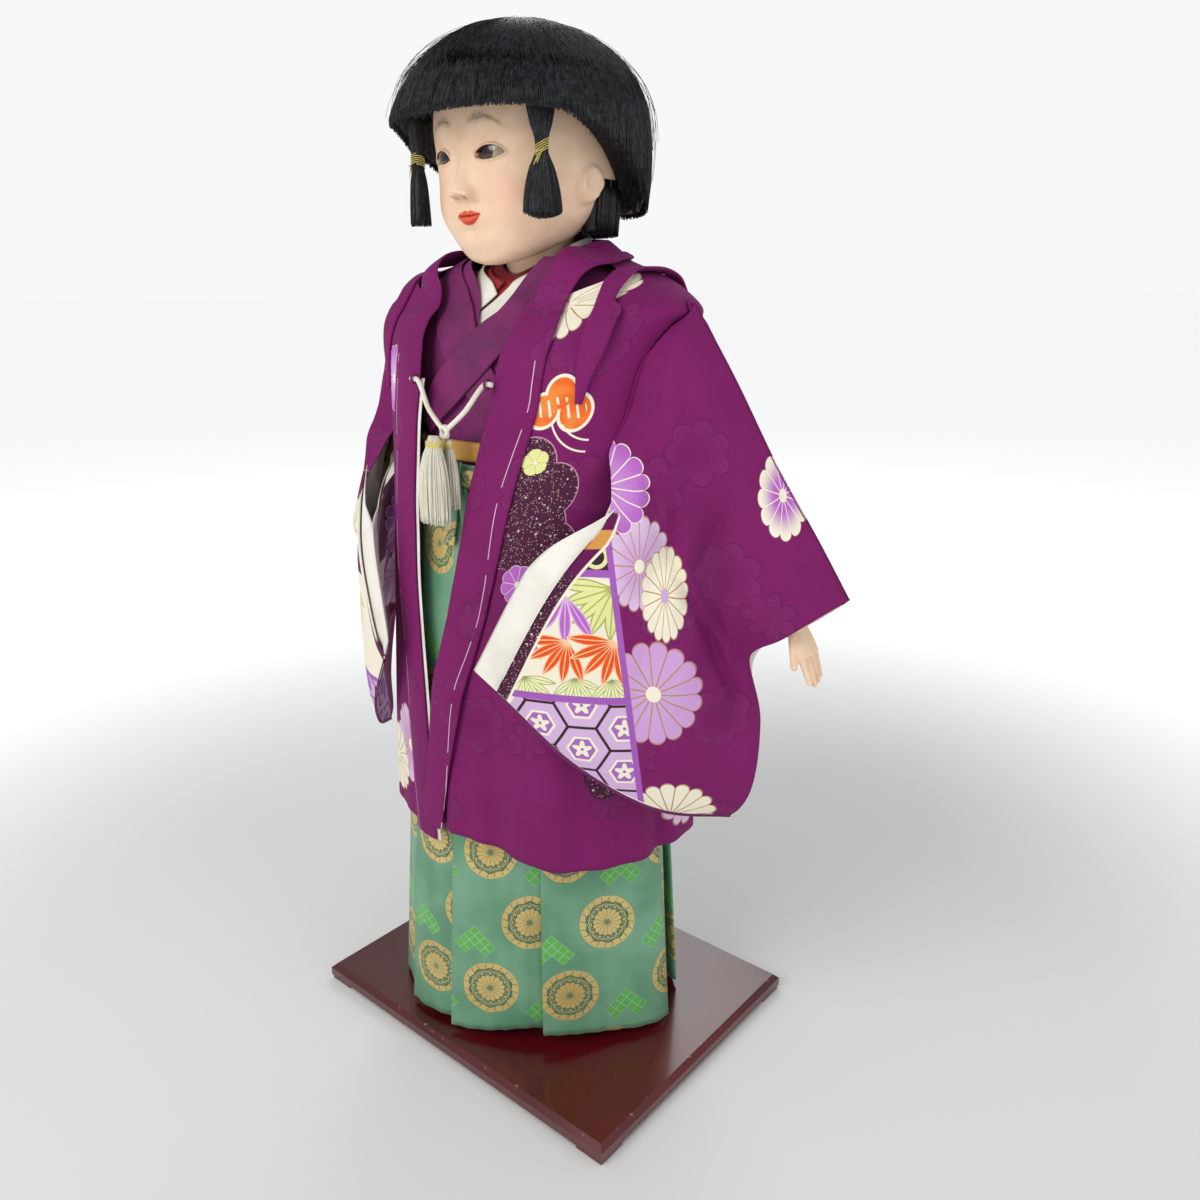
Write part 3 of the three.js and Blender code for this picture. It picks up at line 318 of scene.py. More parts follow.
# %% [markdown]
# ## Shader arithmetic
# A pattern is a formula over the cloth. Writing it node by node hides the formula, so a
# small class turns ordinary sums and comparisons into Math nodes. Effects that several
# finishes share are node groups with named inputs and outputs.

# %% Shader helpers
class Wire:
    """One output of a shader node. Arithmetic on wires adds Math nodes to the same tree."""

    def __init__(self, socket):
        self.socket = socket
        self.tree = socket.id_data

    def __add__(self, other): return calc("ADD", self, other)
    def __radd__(self, other): return calc("ADD", other, self)
    def __sub__(self, other): return calc("SUBTRACT", self, other)
    def __rsub__(self, other): return calc("SUBTRACT", other, self)
    def __mul__(self, other): return calc("MULTIPLY", self, other)
    def __rmul__(self, other): return calc("MULTIPLY", other, self)
    def __truediv__(self, other): return calc("DIVIDE", self, other)
    def __rtruediv__(self, other): return calc("DIVIDE", other, self)
    def __gt__(self, other): return calc("GREATER_THAN", self, other)


def connect(tree, value, socket):
    if isinstance(value, Wire):
        tree.links.new(value.socket, socket)
    else:
        socket.default_value = value


def node(tree, kind, inputs=(), **settings):
    """Adds a node, sets its properties, then links or sets its inputs by number or name."""
    made = tree.nodes.new("ShaderNode" + kind)
    for key, value in settings.items():
        setattr(made, key, value)
    pairs = inputs.items() if isinstance(inputs, dict) else enumerate(inputs)
    for key, value in pairs:
        connect(tree, value, made.inputs[key])
    return made


def calc(operation, *values):
    tree = next(v.tree for v in values if isinstance(v, Wire))
    return Wire(node(tree, "Math", values, operation=operation).outputs[0])


def vector(operation, *values, output=0):
    tree = next(v.tree for v in values if isinstance(v, Wire))
    made = node(tree, "VectorMath", [], operation=operation)
    for k, value in enumerate(values):
        connect(tree, value, made.inputs["Scale" if operation == "SCALE" and k == 1 else k])
    return Wire(made.outputs[output])


def split(wire):
    made = node(wire.tree, "SeparateXYZ", [wire])
    return [Wire(made.outputs[k]) for k in range(3)]


def join(tree, x, y, z=0.0):
    return Wire(node(tree, "CombineXYZ", [x, y, z]).outputs[0])


def step(low, high, wire):
    """A smooth step of a wire from 0 at low to 1 at high."""
    made = node(wire.tree, "MapRange", {"Value": wire, "From Min": low, "From Max": high},
                interpolation_type="SMOOTHSTEP")
    return Wire(made.outputs[0])


def paint(under, mask, colour):
    """The colour laid over what is under it, where the mask is 1."""
    tree = mask.tree
    made = node(tree, "Mix", {0: mask, 6: under, 7: colour}, data_type="RGBA",
                clamp_factor=True)
    return Wire(made.outputs[2])


def layers(colour, *coats):
    """Coats of (mask, colour), laid one over the other."""
    for mask, coat in coats:
        colour = paint(colour, mask, coat)
    return colour


def noise(place, scale, detail=2.0):
    made = node(place.tree, "TexNoise", {"Vector": place, "Scale": scale, "Detail": detail})
    return Wire(made.outputs[0])


def cells(place, scale, feature="F1", output="Distance", randomness=1.0):
    made = node(place.tree, "TexVoronoi", {"Vector": place, "Scale": scale,
                "Randomness": randomness}, feature=feature)
    return Wire(made.outputs[output])


def hexa(code):
    """A colour written as six hex digits, in the linear values that shaders use."""
    srgb = np.array([int(code[k:k + 2], 16) for k in (0, 2, 4)]) / 255
    linear = np.where(srgb <= 0.04045, srgb / 12.92, ((srgb + 0.055) / 1.055) ** 2.4)
    return (*linear.tolist(), 1.0)


def group(name, inputs, build):
    """A node group: inputs are names with defaults, and build gives named outputs."""
    tree = bpy.data.node_groups.new(name, "ShaderNodeTree")
    start = tree.nodes.new("NodeGroupInput")
    for key, value in inputs.items():
        kind = "Float" if isinstance(value, float) else "Vector" if len(value) == 3 else "Color"
        socket = tree.interface.new_socket(key, in_out="INPUT", socket_type="NodeSocket" + kind)
        socket.default_value = value
    made = build(*[Wire(start.outputs[key]) for key in inputs])
    end = tree.nodes.new("NodeGroupOutput")
    for key, wire in made.items():
        kind = "Color" if wire.socket.type == "RGBA" else "Float"
        tree.interface.new_socket(key, in_out="OUTPUT", socket_type="NodeSocket" + kind)
        tree.links.new(wire.socket, end.inputs[key])
    return tree


def use(tree, made_group, **inputs):
    """Places a group and gives its outputs as wires by name."""
    placed = node(tree, "Group", node_tree=made_group)
    for key, value in inputs.items():
        connect(tree, value, placed.inputs[key.replace("_", " ")])
    return {s.name: Wire(s) for s in placed.outputs}


def material(name, build, slot=None):
    """A Principled finish. build gets the tree and gives colour, roughness and the rest.
    The slot has the finish's own name unless it is told another."""
    made = bpy.data.materials.new(name)
    slots[name] = slot or "_".join(name.split())
    made.use_nodes = True
    tree = made.node_tree
    shader = tree.nodes["Principled BSDF"]
    for key, value in build(tree).items():
        connect(tree, value, shader.inputs[key.replace("_", " ")])
    return made


def own_uv(tree):
    return Wire(node(tree, "UVMap", uv_map="cloth").outputs[0])


def object_place(tree):
    return Wire(node(tree, "TexCoord").outputs["Object"])


def value_of(tree, name):
    return Wire(node(tree, "Attribute", attribute_name=name).outputs["Fac"])


def bump(height, distance, strength=1.0):
    made = node(height.tree, "Bump", {"Strength": strength, "Distance": distance,
                                      "Height": height})
    return Wire(made.outputs[0])


print("shader helpers ready")

# %% [markdown]
# ## Floor and light
# A doll of this kind is photographed on pale paper under wide, soft lamps. One large lamp
# stands to the camera's left and above, a weaker one fills the other side, and a pale
# surround keeps the shadows open. Rays that leave the camera and meet nothing see white.

# %% Floor and light
def area_light(name, at, target, size, power, tint=(1, 1, 1)):
    lamp = bpy.data.lights.new(name, "AREA")
    lamp.shape, lamp.size, lamp.energy, lamp.color = "DISK", size, power, tint
    holder = bpy.data.objects.new(name, lamp)
    away = unit(np.array(at, float) - np.array(target, float))
    side = unit(np.cross((0.0, 0.0, 1.0), away))
    up = np.cross(away, side)
    holder.matrix_world = stand([side, up, away], at)
    bpy.context.scene.collection.objects.link(holder)
    return holder


FLOOR_REACH, FLOOR_Z = 60, -0.0035
floor_mesh = bpy.data.meshes.new("floor")
floor_mesh.from_pydata([(x * FLOOR_REACH, y * FLOOR_REACH, FLOOR_Z) for x, y in
                        ((-1, -1), (1, -1), (1, 1), (-1, 1))], [], [(0, 1, 2, 3)])
floor = bpy.data.objects.new("floor", floor_mesh)
bpy.context.scene.collection.objects.link(floor)


SURROUND = (0.93, 0.94, 0.94, 1)


def build_paper(tree):
    """Pale paper that fades into the white surround a little way off."""
    x, y, _ = split(object_place(tree))
    away = step(0.45, 1.3, calc("SQRT", x * x + y * y))
    return {"Base_Color": (0.86, 0.86, 0.85, 1), "Roughness": 0.9,
            "Emission_Color": SURROUND, "Emission_Strength": away * 0.55}


floor_mesh.materials.append(material("paper", build_paper))
key = area_light("key", (-0.15, -1.9, 1.7), (0, 0, 0.35), 1.5, 24, (1, 0.985, 0.96))
fill = area_light("fill", (2.1, 0.1, 1.2), (0, 0, 0.35), 1.6, 9, (0.97, 0.985, 1))
back = area_light("back", (-1.2, 1.6, 1.9), (0, 0, 0.4), 1.2, 9)

world = bpy.data.worlds.new("surround")
bpy.context.scene.world = world
world.use_nodes = True
sky = world.node_tree
seen = Wire(node(sky, "LightPath").outputs["Is Camera Ray"])
shade = paint((0.46, 0.47, 0.48, 1), seen, SURROUND)
connect(sky, shade, sky.nodes["Background"].inputs["Color"])
sky.nodes["Background"].inputs["Strength"].default_value = 1.0
bpy.context.scene.view_settings.view_transform = "Standard"
print("lamps", [lamp.name for lamp in (key, fill, back)])

# %% [markdown]
# ## Body sections
# The garments hang as squared-off ovals round the body. These are the sizes of the kimono
# and of the haori at a few heights, from which the bands, loops and folds are placed.

# %% Body sections
# height, half-width, front, back
KIMONO = [(345, 68, 50, 50), (400, 74, 58, 53), (465, 82, 71, 60), (523, 100, 70, 60),
          (545, 108, 64, 58), (560, 114, 55, 54), (569, 116, 47, 49), (580, 106, 40, 45),
          (590, 86.2, 36.6, 43), (597, 64.4, 35.6, 43), (604, 46, 35, 43)]
HAORI = [(160, 119, 100, 101), (300, 116, 98, 97), (400, 116, 93, 90), (470, 116, 88, 82),
         (523, 120, 82, 73), (545, 125, 75, 68), (560, 132, 64, 61), (569, 136, 54, 55),
         (580, 123, 48, 54), (590, 104, 46, 53), (597, 82, 45, 53), (604, 60, 45, 53)]


SIDES = {"left": 1, "right": -1}


def section(rows, angle, z, grow=0.0):
    """The point of a garment's surface at an angle and a height."""
    angle, z = np.broadcast_arrays(np.asarray(angle, float), np.asarray(z, float))
    a, f, b = table(rows, z)
    return polar(plan_radius(a, f, b, angle) + grow, angle, z)


def haori_fold(angle, z):
    """Soft folds that grow toward the hem: a sum of two waves round the body."""
    drop = 1 - ease(170, 480, z)
    return drop * (3.2 + 3 * np.cos(7 * angle + 0.8) + 1.6 * np.cos(11 * angle - 1.4))


def haori(angle, z, grow=0.0):
    """The haori's own surface: its section and its folds."""
    return section(HAORI, angle, z, grow + haori_fold(angle, z))


def angle_at(rows, x, z, behind=False):
    """The angle at which the section's front, or its back, reaches a given x."""
    x, z = np.broadcast_arrays(np.asarray(x, float), np.asarray(z, float))
    low = np.full(x.shape, np.pi if behind else -np.pi / 2)
    high = np.full(x.shape, np.pi / 2)
    for _ in range(30):
        middle = (low + high) / 2
        short = section(rows, middle, z)[..., 0] < x
        low, high = np.where(short, middle, low), np.where(short, high, middle)
    return (low + high) / 2


def settle(points, rows, lift):
    """Moves points that lie nearer than lift to a garment's surface out to that distance,
    along the surface's own normal."""
    angle = np.arctan2(points[..., 0], -points[..., 1])
    r, z = np.hypot(points[..., 0], points[..., 1]), points[..., 2].copy()

    def reach(height):
        return plan_radius(*table(rows, height), angle)

    for _ in range(8):
        slope = reach(z - 0.5) - reach(z + 0.5)
        norm = np.hypot(1, slope)
        away = np.maximum(lift - (r - reach(z)) / norm, 0) * (z < rows[-1][0])
        r, z = r + away / norm, z + away * slope / norm
    return polar(r, angle, z)


def swept(line, radius, sides=24, flat=1.0, across=(0, 0, 1)):
    """A grid round a centre line, with both ends drawn to a point. The radius may change
    along the line and round it."""
    along = unit(np.gradient(line, axis=0))
    side = unit(np.cross(along, across))
    other = np.cross(side, along)
    turn = circle(sides + 1)
    radius = np.broadcast_to(radius, (len(line), sides + 1))[..., None]
    grid = (line[:, None] + side[:, None] * np.cos(turn)[:, None] * radius
            + other[:, None] * np.sin(turn)[:, None] * radius * flat)
    return tipped(grid, (line[0], line[-1]))


print("chest depth", round(float(-section(HAORI, 0, 523)[1]), 1), "mm")

# %% [markdown]
# ## Shared surface effects
# Silk is woven, so every cloth here shares one group for its threads and another for the
# soft change of tone that folds and handling give it. Both read the cloth's own
# coordinates, which are laid out in metres.

# %% Shared surface effects
def build_weave(place, pitch):
    """Warp over weft: two triangle waves, and the higher of them shows."""
    x, y, _ = split(vector("SCALE", place, 1 / pitch))
    across, along = (calc("PINGPONG", v, 0.5) for v in (x, y))
    crossing = calc("PINGPONG", x + y, 1.0)
    return {"Height": calc("MAXIMUM", across * crossing, along * (1.0 - crossing)) * 2.0}


def build_tone(place, size):
    """Cloud-like light and dark, and a finer crinkle as crepe silk has."""
    broad = noise(vector("SCALE", place, 1 / size), 1.0, 3.0)
    fine = noise(vector("SCALE", place, 14 / size), 1.0, 2.0)
    return {"Tone": broad, "Crinkle": fine}


weave_group = group("threads", {"Place": (0.0, 0.0, 0.0), "Pitch": 0.0006}, build_weave)
tone_group = group("cloth tone", {"Place": (0.0, 0.0, 0.0), "Size": 0.03}, build_tone)


PURPLE, DEEP = hexa("7d1561"), hexa("641150")
WHITE_SHADE, WHITE = hexa("e9e4d8"), hexa("f6f3ea")


def cloth(name, dark, light, pitch, rough, sheen=0.15, from_uv=True, slot=None):
    """A plain silk: two near tones of one colour, threads and a crinkle."""
    def build(tree):
        place = own_uv(tree) if from_uv else object_place(tree)
        tone = use(tree, tone_group, Place=place)
        threads = use(tree, weave_group, Place=place, Pitch=pitch)["Height"]
        colour = paint(dark, step(0.3, 0.7, tone["Tone"]), light)
        return {"Base_Color": colour, "Roughness": rough, "Sheen_Weight": sheen,
                "Sheen_Roughness": 0.4,
                "Normal": bump(threads * 0.4 + tone["Crinkle"], 0.0004, 0.5)}
    return material(name, build, slot)


purple_silk = cloth("purple silk", DEEP, PURPLE, 0.0005, 0.75, 0.04, False)
white_silk = cloth("white silk", WHITE_SHADE, WHITE, 0.0005, 0.7)
white_body_silk = cloth("white padded silk", WHITE_SHADE, WHITE, 0.0005, 0.7, from_uv=False,
                        slot="white_silk")
red_silk = cloth("red silk", hexa("8a1420"), hexa("b01c2b"), 0.0005, 0.6)
green_body_brocade = cloth("green brocade, shaped", hexa("2f7a5e"), hexa("4f9c7c"), 0.0006,
                           0.45, 0.4, False, "green_brocade")
gold_brocade = cloth("gold brocade", hexa("b06a18"), hexa("d8a23c"), 0.0008, 0.45, 0.3)
pale_cord = cloth("pale cord", hexa("ddd6c2"), hexa("f1ecdd"), 0.0004, 0.8, from_uv=False)
gold_thread = cloth("gold thread", hexa("b9ab4c"), hexa("ece08a"), 0.0004, 0.5, from_uv=False)
print("cloths ready")

# %% [markdown]
# ## Motifs
# The cloth carries old, common motifs: many-petalled flowers, bamboo leaves, tortoiseshell
# hexagons, dotted ground and small tie-dyed lattices. Each is drawn by a node group from the
# distance and the angle to a centre, so its edges stay sharp at any size.

# %% Motifs
def below(wire, limit, soft=0.0002):
    return 1.0 - step(-soft, soft, wire - limit)


def within(wire, low, high, soft=0.0002):
    return step(-soft, soft, wire - low) * below(wire, high, soft)


def near(wire, line, half, soft=0.0002):
    """A line where one value comes near another."""
    return below(calc("ABSOLUTE", wire - line), half, soft)


def either(*masks):
    """The greatest of the masks."""
    greatest = masks[0]
    for mask in masks[1:]:
        greatest = calc("MAXIMUM", greatest, mask)
    return greatest


def distance(place, centre):
    return vector("LENGTH", vector("SUBTRACT", place, centre), output=1)


def ring(place, centre, radius, width):
    """A closed circle line."""
    return near(distance(place, centre), radius, width / 2)


def build_flower(place, centre, size, petals, turn):
    """Petals are equal shares of the full turn. Each ends in a round tip, and thin seams
    run between them to the core."""
    p = vector("DIVIDE", vector("SUBTRACT", place, centre), size)
    x, y, _ = split(p)
    reach = vector("LENGTH", p, output=1)
    part = calc("FRACT", calc("ARCTAN2", y, x) * petals / math.tau + turn)
    off = calc("ABSOLUTE", part - 0.5) * 2.0
    edge = calc("SQRT", calc("MAXIMUM", 1.0 - off * off, 0.0)) * 0.18 + 0.82
    petal = below(reach, edge, 0.012)
    seam = below((1.0 - off) * reach * math.pi / petals, 0.013, 0.006)
    rim = near(reach, edge - 0.012, 0.016, 0.008)
    return {"Petal": petal, "Line": either(seam, rim) * petal,
            "Core": below(reach, 0.15, 0.01), "Reach": reach}


def build_leaves(place, root, length, turn, count, spread):
    """A fan of pointed leaves round the root, an odd number of them."""
    x, y, _ = split(vector("SUBTRACT", place, root))
    c, s = calc("COSINE", turn), calc("SINE", turn)
    angle = calc("ARCTAN2", y * c - x * s, x * c + y * s)
    half = (count - 1.0) / 2.0
    leaf_no = calc("MAXIMUM", calc("MINIMUM", calc("ROUND", angle / spread), half), 0.0 - half)
    reach = calc("SQRT", x * x + y * y) / length
    off = angle - leaf_no * spread
    along, across = reach * calc("COSINE", off), calc("ABSOLUTE", reach * calc("SINE", off))
    width = calc("MAXIMUM", along * (1.0 - along), 0.0) \
        * (0.25 + along * 1.1 - along * along * 0.75) * 0.72
    leaf = below(across, width, 0.006) * within(along, 0.0, 1.0, 0.004)
    vein = below(across, 0.012, 0.006) * leaf
    rim = near(across, width, 0.013, 0.006) * within(along, 0.0, 1.0, 0.004)
    return {"Leaf": leaf, "Vein": vein, "Rim": rim}


ROOT_3 = math.sqrt(3)


def build_tortoiseshell(place, side):
    """Flat-topped hexagons: two lattices of centres, and the nearer centre rules."""
    pitch = join(place.tree, side * 3.0, side * ROOT_3, 1.0)
    spots = []
    for shift in (0.0, 0.5):
        moved = vector("ADD", vector("DIVIDE", place, pitch), (shift, shift, 0.0))
        x, y, _ = split(vector("SUBTRACT", vector("FRACTION", moved), (0.5, 0.5, 0.0)))
        spots.append(join(place.tree, x * 3.0, y * ROOT_3))
    first, second = (vector("LENGTH", spot, output=1) for spot in spots)
    nearer = node(place.tree, "Mix", {0: first > second, 4: spots[0], 5: spots[1]},
                  data_type="VECTOR")
    x, y, _ = split(Wire(nearer.outputs[1]))
    flat, wide = calc("ABSOLUTE", y), calc("ABSOLUTE", x)
    reach = calc("MAXIMUM", flat, wide * (ROOT_3 / 2) + flat * 0.5) / (ROOT_3 / 2)
    d = calc("SQRT", x * x + y * y)
    lobes = calc("COSINE", calc("ARCTAN2", x, y) * 5.0) * 0.09 + 0.27
    flower = below(d, lobes, 0.01) * step(0.05, 0.07, d)
    return {"Reach": reach, "Flower": flower}


def build_dots(place, pitch):
    """A ground of fine dots with larger ones strewn among them."""
    fine = cells(vector("SCALE", place, 1 / pitch), 1.0, randomness=0.8)
    bold = cells(vector("SCALE", place, 0.3 / pitch), 1.0)
    return {"Dots": either(below(fine, 0.27, 0.06) * 0.6, below(bold, 0.15, 0.03))}


def build_cloud(place, size):
    """Scalloped clouds woven tone on tone: lobed discs round strewn centres, and their rims."""
    spot = vector("SCALE", place, 1 / size)
    reach = cells(spot, 1.0, randomness=0.75)
    middle = cells(spot, 1.0, output="Position", randomness=0.75)
    x, y, _ = split(vector("SUBTRACT", spot, middle))
    lobes = calc("ABSOLUTE", calc("SINE", calc("ARCTAN2", y, x) * 3.5))
    edge = calc("POWER", lobes, 0.6) * 0.12 + 0.33
    disc = below(reach, edge, 0.012)
    grain = step(0.3, 0.5, cells(vector("SCALE", place, 46 / size), 1.0))
    return {"Disc": disc, "Rim": near(reach, edge, 0.014, 0.01),
            "Grain": disc * step(0.1, 0.44, reach) * grain}


def build_lattice(place, pitch):
    """Small squares tied and dyed, set on their corners."""
    x, y, _ = split(vector("SCALE", place, 1 / pitch))
    one, two = (calc("PINGPONG", v, 0.5) for v in (x + y, x - y))
    return {"Line": below(calc("MINIMUM", one, two), 0.1, 0.06)}


SPOT = (0.0, 0.0, 0.0)
flower_group = group("flower", {"Place": SPOT, "Centre": SPOT, "Size": (0.03, 0.03, 1.0),
                                "Petals": 16.0, "Turn": 0.0}, build_flower)
leaf_group = group("leaf fan", {"Place": SPOT, "Root": SPOT, "Length": 0.03, "Turn": 0.0,
                                "Count": 5.0, "Spread": 0.5}, build_leaves)
shell_group = group("tortoiseshell", {"Place": SPOT, "Side": 0.019}, build_tortoiseshell)
dot_group = group("dotted ground", {"Place": SPOT, "Pitch": 0.0015}, build_dots)
cloud_group = group("woven clouds", {"Place": SPOT, "Size": 0.05}, build_cloud)
lattice_group = group("tied lattice", {"Place": SPOT, "Pitch": 0.0024}, build_lattice)

VIOLET, PALE, CREAM = hexa("b867c4"), hexa("cda4d8"), hexa("f4ecd6")
GOLD, ORANGE, LEAF, BROWN = hexa("b98c4c"), hexa("ea5414"), hexa("e4e69c"), hexa("3c2228")


def blooms(colour, place, rows):
    """Paints flowers, each a row of x, y, half-width, half-height, petals, colours and at
    times a turn. The colours are those by the core, at the tips, of the core, of the lines."""
    for x, y, wide, tall, petals, (inner, outer, core, line), *turn in rows:
        made = use(place.tree, flower_group, Place=place, Centre=(x, y, 0.0),
                   Size=(wide, tall, 1.0), Petals=float(petals), Turn=turn[0] if turn else 0.0)
        fill = layers(inner, (step(0.3, 0.95, made["Reach"]), outer), (made["Line"], line),
                      (made["Core"], core))
        colour = paint(colour, made["Petal"], fill)
    return colour


def leaf_fans(colour, place, rows):
    """Paints fans of leaves, each a row of the root's x and y, length, direction in degrees,
    number, spread in degrees, and the colours of leaf and line."""
    for x, y, length, degrees, count, spread, (fill, line) in rows:
        made = use(place.tree, leaf_group, Place=place, Root=(x, y, 0.0), Length=length,
                   Turn=math.radians(degrees), Count=float(count), Spread=math.radians(spread))
        colour = layers(colour, (made["Leaf"], fill), (either(made["Vein"], made["Rim"]), line))
    return colour


def dotted(place):
    """Dark ground with pale dots."""
    return paint(hexa("4c1a3a"), use(place.tree, dot_group, Place=place)["Dots"], hexa("e9d3c4"))


def crepe(name, pattern):
    """Purple crepe with woven clouds, a little darker inside them and lighter at the rims,
    on which a pattern is painted."""
    def build(tree):
        place = own_uv(tree)
        tone = use(tree, tone_group, Place=place, Size=0.05)
        cloud = use(tree, cloud_group, Place=place)
        ground = layers(PURPLE, (step(0.35, 0.7, tone["Tone"]) * 0.3, DEEP),
                        (cloud["Disc"] * 0.35, DEEP), (cloud["Grain"] * 0.25, hexa("9a3a82")),
                        (cloud["Rim"] * 0.45, hexa("55104a")))
        threads = use(tree, weave_group, Place=place, Pitch=0.0007)["Height"]
        return {"Base_Color": pattern(ground, place), "Roughness": 0.78,
                "Specular_IOR_Level": 0.25, "Sheen_Weight": 0.06, "Sheen_Roughness": 0.4,
                "Sheen_Tint": hexa("c27ab0"),
                "Normal": bump(threads * 0.4 + tone["Crinkle"], 0.0004, 0.5)}
    return material(name, build, "purple_crepe")


print("motif groups", len(bpy.data.node_groups))

# %% [markdown]
# ## Patterned silks
# The left sleeve shows the main picture. A slanted border divides it: flowers stand to its
# right, and to its left lie a panel of bamboo leaves and a field of hexagons. The other
# pieces take a few motifs each, and the hakama has a woven lattice of gold roundels.

# %% Patterned silks
CREAM_FLOWER = (CREAM, hexa("efe8d2"), CREAM, GOLD)
LILAC_FLOWER = (PALE, hexa("dcc0e0"), CREAM, GOLD)
VIOLET_FLOWER = (hexa("c98ad6"), VIOLET, CREAM, CREAM)
GREEN_LEAF, PALE_LEAF = (LEAF, hexa("a9ad5c")), (hexa("ecedb4"), hexa("9aa06a"))
VIOLET_LEAF, ORANGE_LEAF = (VIOLET, hexa("d9b3e0")), (ORANGE, hexa("f7c89c"))
FIELD, FIELD_RIM, BORDER = hexa("a86abb"), hexa("d5b3dc"), hexa("a45cb8")


def hexagons(place, flowered):
    """Violet hexagons with pale rims and dark seams, each with a small flower at times."""
    shell = use(place.tree, shell_group, Place=place)
    reach = shell["Reach"]
    flower = [(shell["Flower"], CREAM), (step(0.47, 0.49, reach), CREAM)] if flowered else []
    return layers(FIELD, *flower, (step(0.57, 0.59, reach), FIELD_RIM),
                  (step(0.93, 0.95, reach), BROWN))


def free_edge(colour, place, strip):
    """A strip along the sleeve's hanging inner edge, with a cream line beside it."""
    inset = value_of(place.tree, "inset")
    free = step(0.49, 0.5, value_of(place.tree, "down")) * value_of(place.tree, "front")
    return layers(colour, (below(inset, 0.010) * free, CREAM),
                  (below(inset, 0.0082) * free, strip))


LEFT_FLOWERS = [(0.0705, 0.4140, 0.021, 0.031, 16, LILAC_FLOWER),
                (0.0868, 0.3940, 0.0155, 0.031, 16, (CREAM, hexa("efe8d2"), PALE, GOLD), 0.3),
                (0.0800, 0.3270, 0.033, 0.037, 15, (PALE, hexa("cf9fd8"), CREAM, GOLD)),
                (0.0480, 0.4600, 0.030, 0.030, 15, VIOLET_FLOWER),
                (0.0930, 0.2300, 0.033, 0.030, 17, CREAM_FLOWER),
                (0.1600, 0.4580, 0.016, 0.026, 12, (VIOLET, CREAM, CREAM, CREAM), 0.4)]
LEFT_LEAVES = [(-0.006, 0.336, 0.022, -60, 5, 26, PALE_LEAF),
               (0.028, 0.338, 0.020, -80, 5, 28, PALE_LEAF),
               (0.052, 0.338, 0.020, -75, 5, 28, PALE_LEAF),
               (0.0540, 0.4000, 0.036, 222, 5, 22, GREEN_LEAF),
               (0.0200, 0.3990, 0.027, 195, 5, 30, VIOLET_LEAF),
               (0.0230, 0.3935, 0.033, 268, 3, 34, VIOLET_LEAF),
               (-0.0070, 0.3690, 0.024, 272, 3, 32, VIOLET_LEAF),
               (0.0240, 0.3640, 0.031, 236, 5, 26, ORANGE_LEAF),
               (0.0550, 0.3640, 0.032, 228, 5, 26, ORANGE_LEAF)]
# x, y and radius of the circles over the panel
CURLS = [(0.031, 0.424, 0.006), (0.043, 0.419, 0.0065), (0.040, 0.434, 0.005)]
PANEL_TOP, PANEL_FOOT = 0.4085, 0.3225


def left_sleeve(colour, place):
    """Flowers, and left of a slanted border a panel of leaves over a field of hexagons. All
    is placed in metres: across the sleeve as seen from the front, and up."""
    x, y, _ = split(place)
    band = within(x, 0.098 + (0.465 - y) * 0.18, 0.129 - (0.465 - y) * 0.02, 0.006)
    band = band * within(y, 0.37, 0.456, 0.012)
    tied = use(place.tree, lattice_group, Place=place)["Line"] * band
    colour = blooms(paint(colour, tied * 0.55, hexa("3f0b36")), place, LEFT_FLOWERS)
    edge = 0.0532 + (0.4078 - y) * 0.118
    left = below(x, edge)
    panel = paint(CREAM, step(0.45, 0.6, noise(place, 900.0, 1.0)) * 0.2, hexa("ddd2b8"))
    curls = either(*(ring(place, (cx, cy, 0), reach, 0.0026) for cx, cy, reach in CURLS))
    rims = either(near(y, PANEL_TOP, 0.0024), near(y, PANEL_FOOT, 0.0026)) * left
    rims = either(rims, near(x, edge, 0.0021) * below(y, 0.447))
    colour = layers(
        colour, (left * below(y, PANEL_TOP), leaf_fans(panel, place, LEFT_LEAVES)),
        (left * below(y, PANEL_FOOT), hexagons(vector("SUBTRACT", place, (0.004, 0.006, 0.0)),
                                               True)),
        (left * step(0.4083, 0.4087, y) * below(y, 0.445), paint(BROWN, curls, hexa("e9e3a8"))),
        (rims, BORDER))
    return free_edge(colour, place, layers(dotted(place), (step(0.405, 0.410, y), DEEP),
                                           (within(y, 0.424, 0.436), hexa("d9994e"))))


RIGHT_FLOWERS = [(0.098, 0.398, 0.034, 0.030, 15, VIOLET_FLOWER),
                 (0.112, 0.345, 0.030, 0.030, 16, LILAC_FLOWER),
                 (0.150, 0.380, 0.024, 0.026, 16, CREAM_FLOWER)]
RIGHT_TOP, RIGHT_FOOT = 0.372, 0.288


def right_sleeve(colour, place):
    """The same order on the right: flowers, then a panel with one plum over hexagons."""
    x, y, _ = split(place)
    colour = blooms(colour, place, RIGHT_FLOWERS)
    plum = (0.062, 0.318, 0.024, 0.024, 5, (ORANGE, ORANGE, CREAM, CREAM))
    panel = leaf_fans(blooms(CREAM, place, [plum]), place,
                      [(0.040, 0.362, 0.034, 260, 5, 26, GREEN_LEAF)])
    edge = 0.084 + (0.4078 - y) * 0.10
    left = below(x, edge) * below(y, RIGHT_TOP)
    rims = either(near(x, edge, 0.0021) * below(y, RIGHT_TOP),
                  near(y, RIGHT_FOOT, 0.0024) * left)
    colour = layers(colour, (left, panel), (left * below(y, RIGHT_FOOT), hexagons(place, False)),
                    (rims, BORDER))
    return free_edge(colour, place, DEEP)


def cloud_mask(place, lobes, grow=0.0):
    """One cloud drawn as the union of round lobes: x, y and radius of each in metres."""
    return either(*(below(distance(place, (x, y, 0.0)), radius + grow)
                    for x, y, radius in lobes))


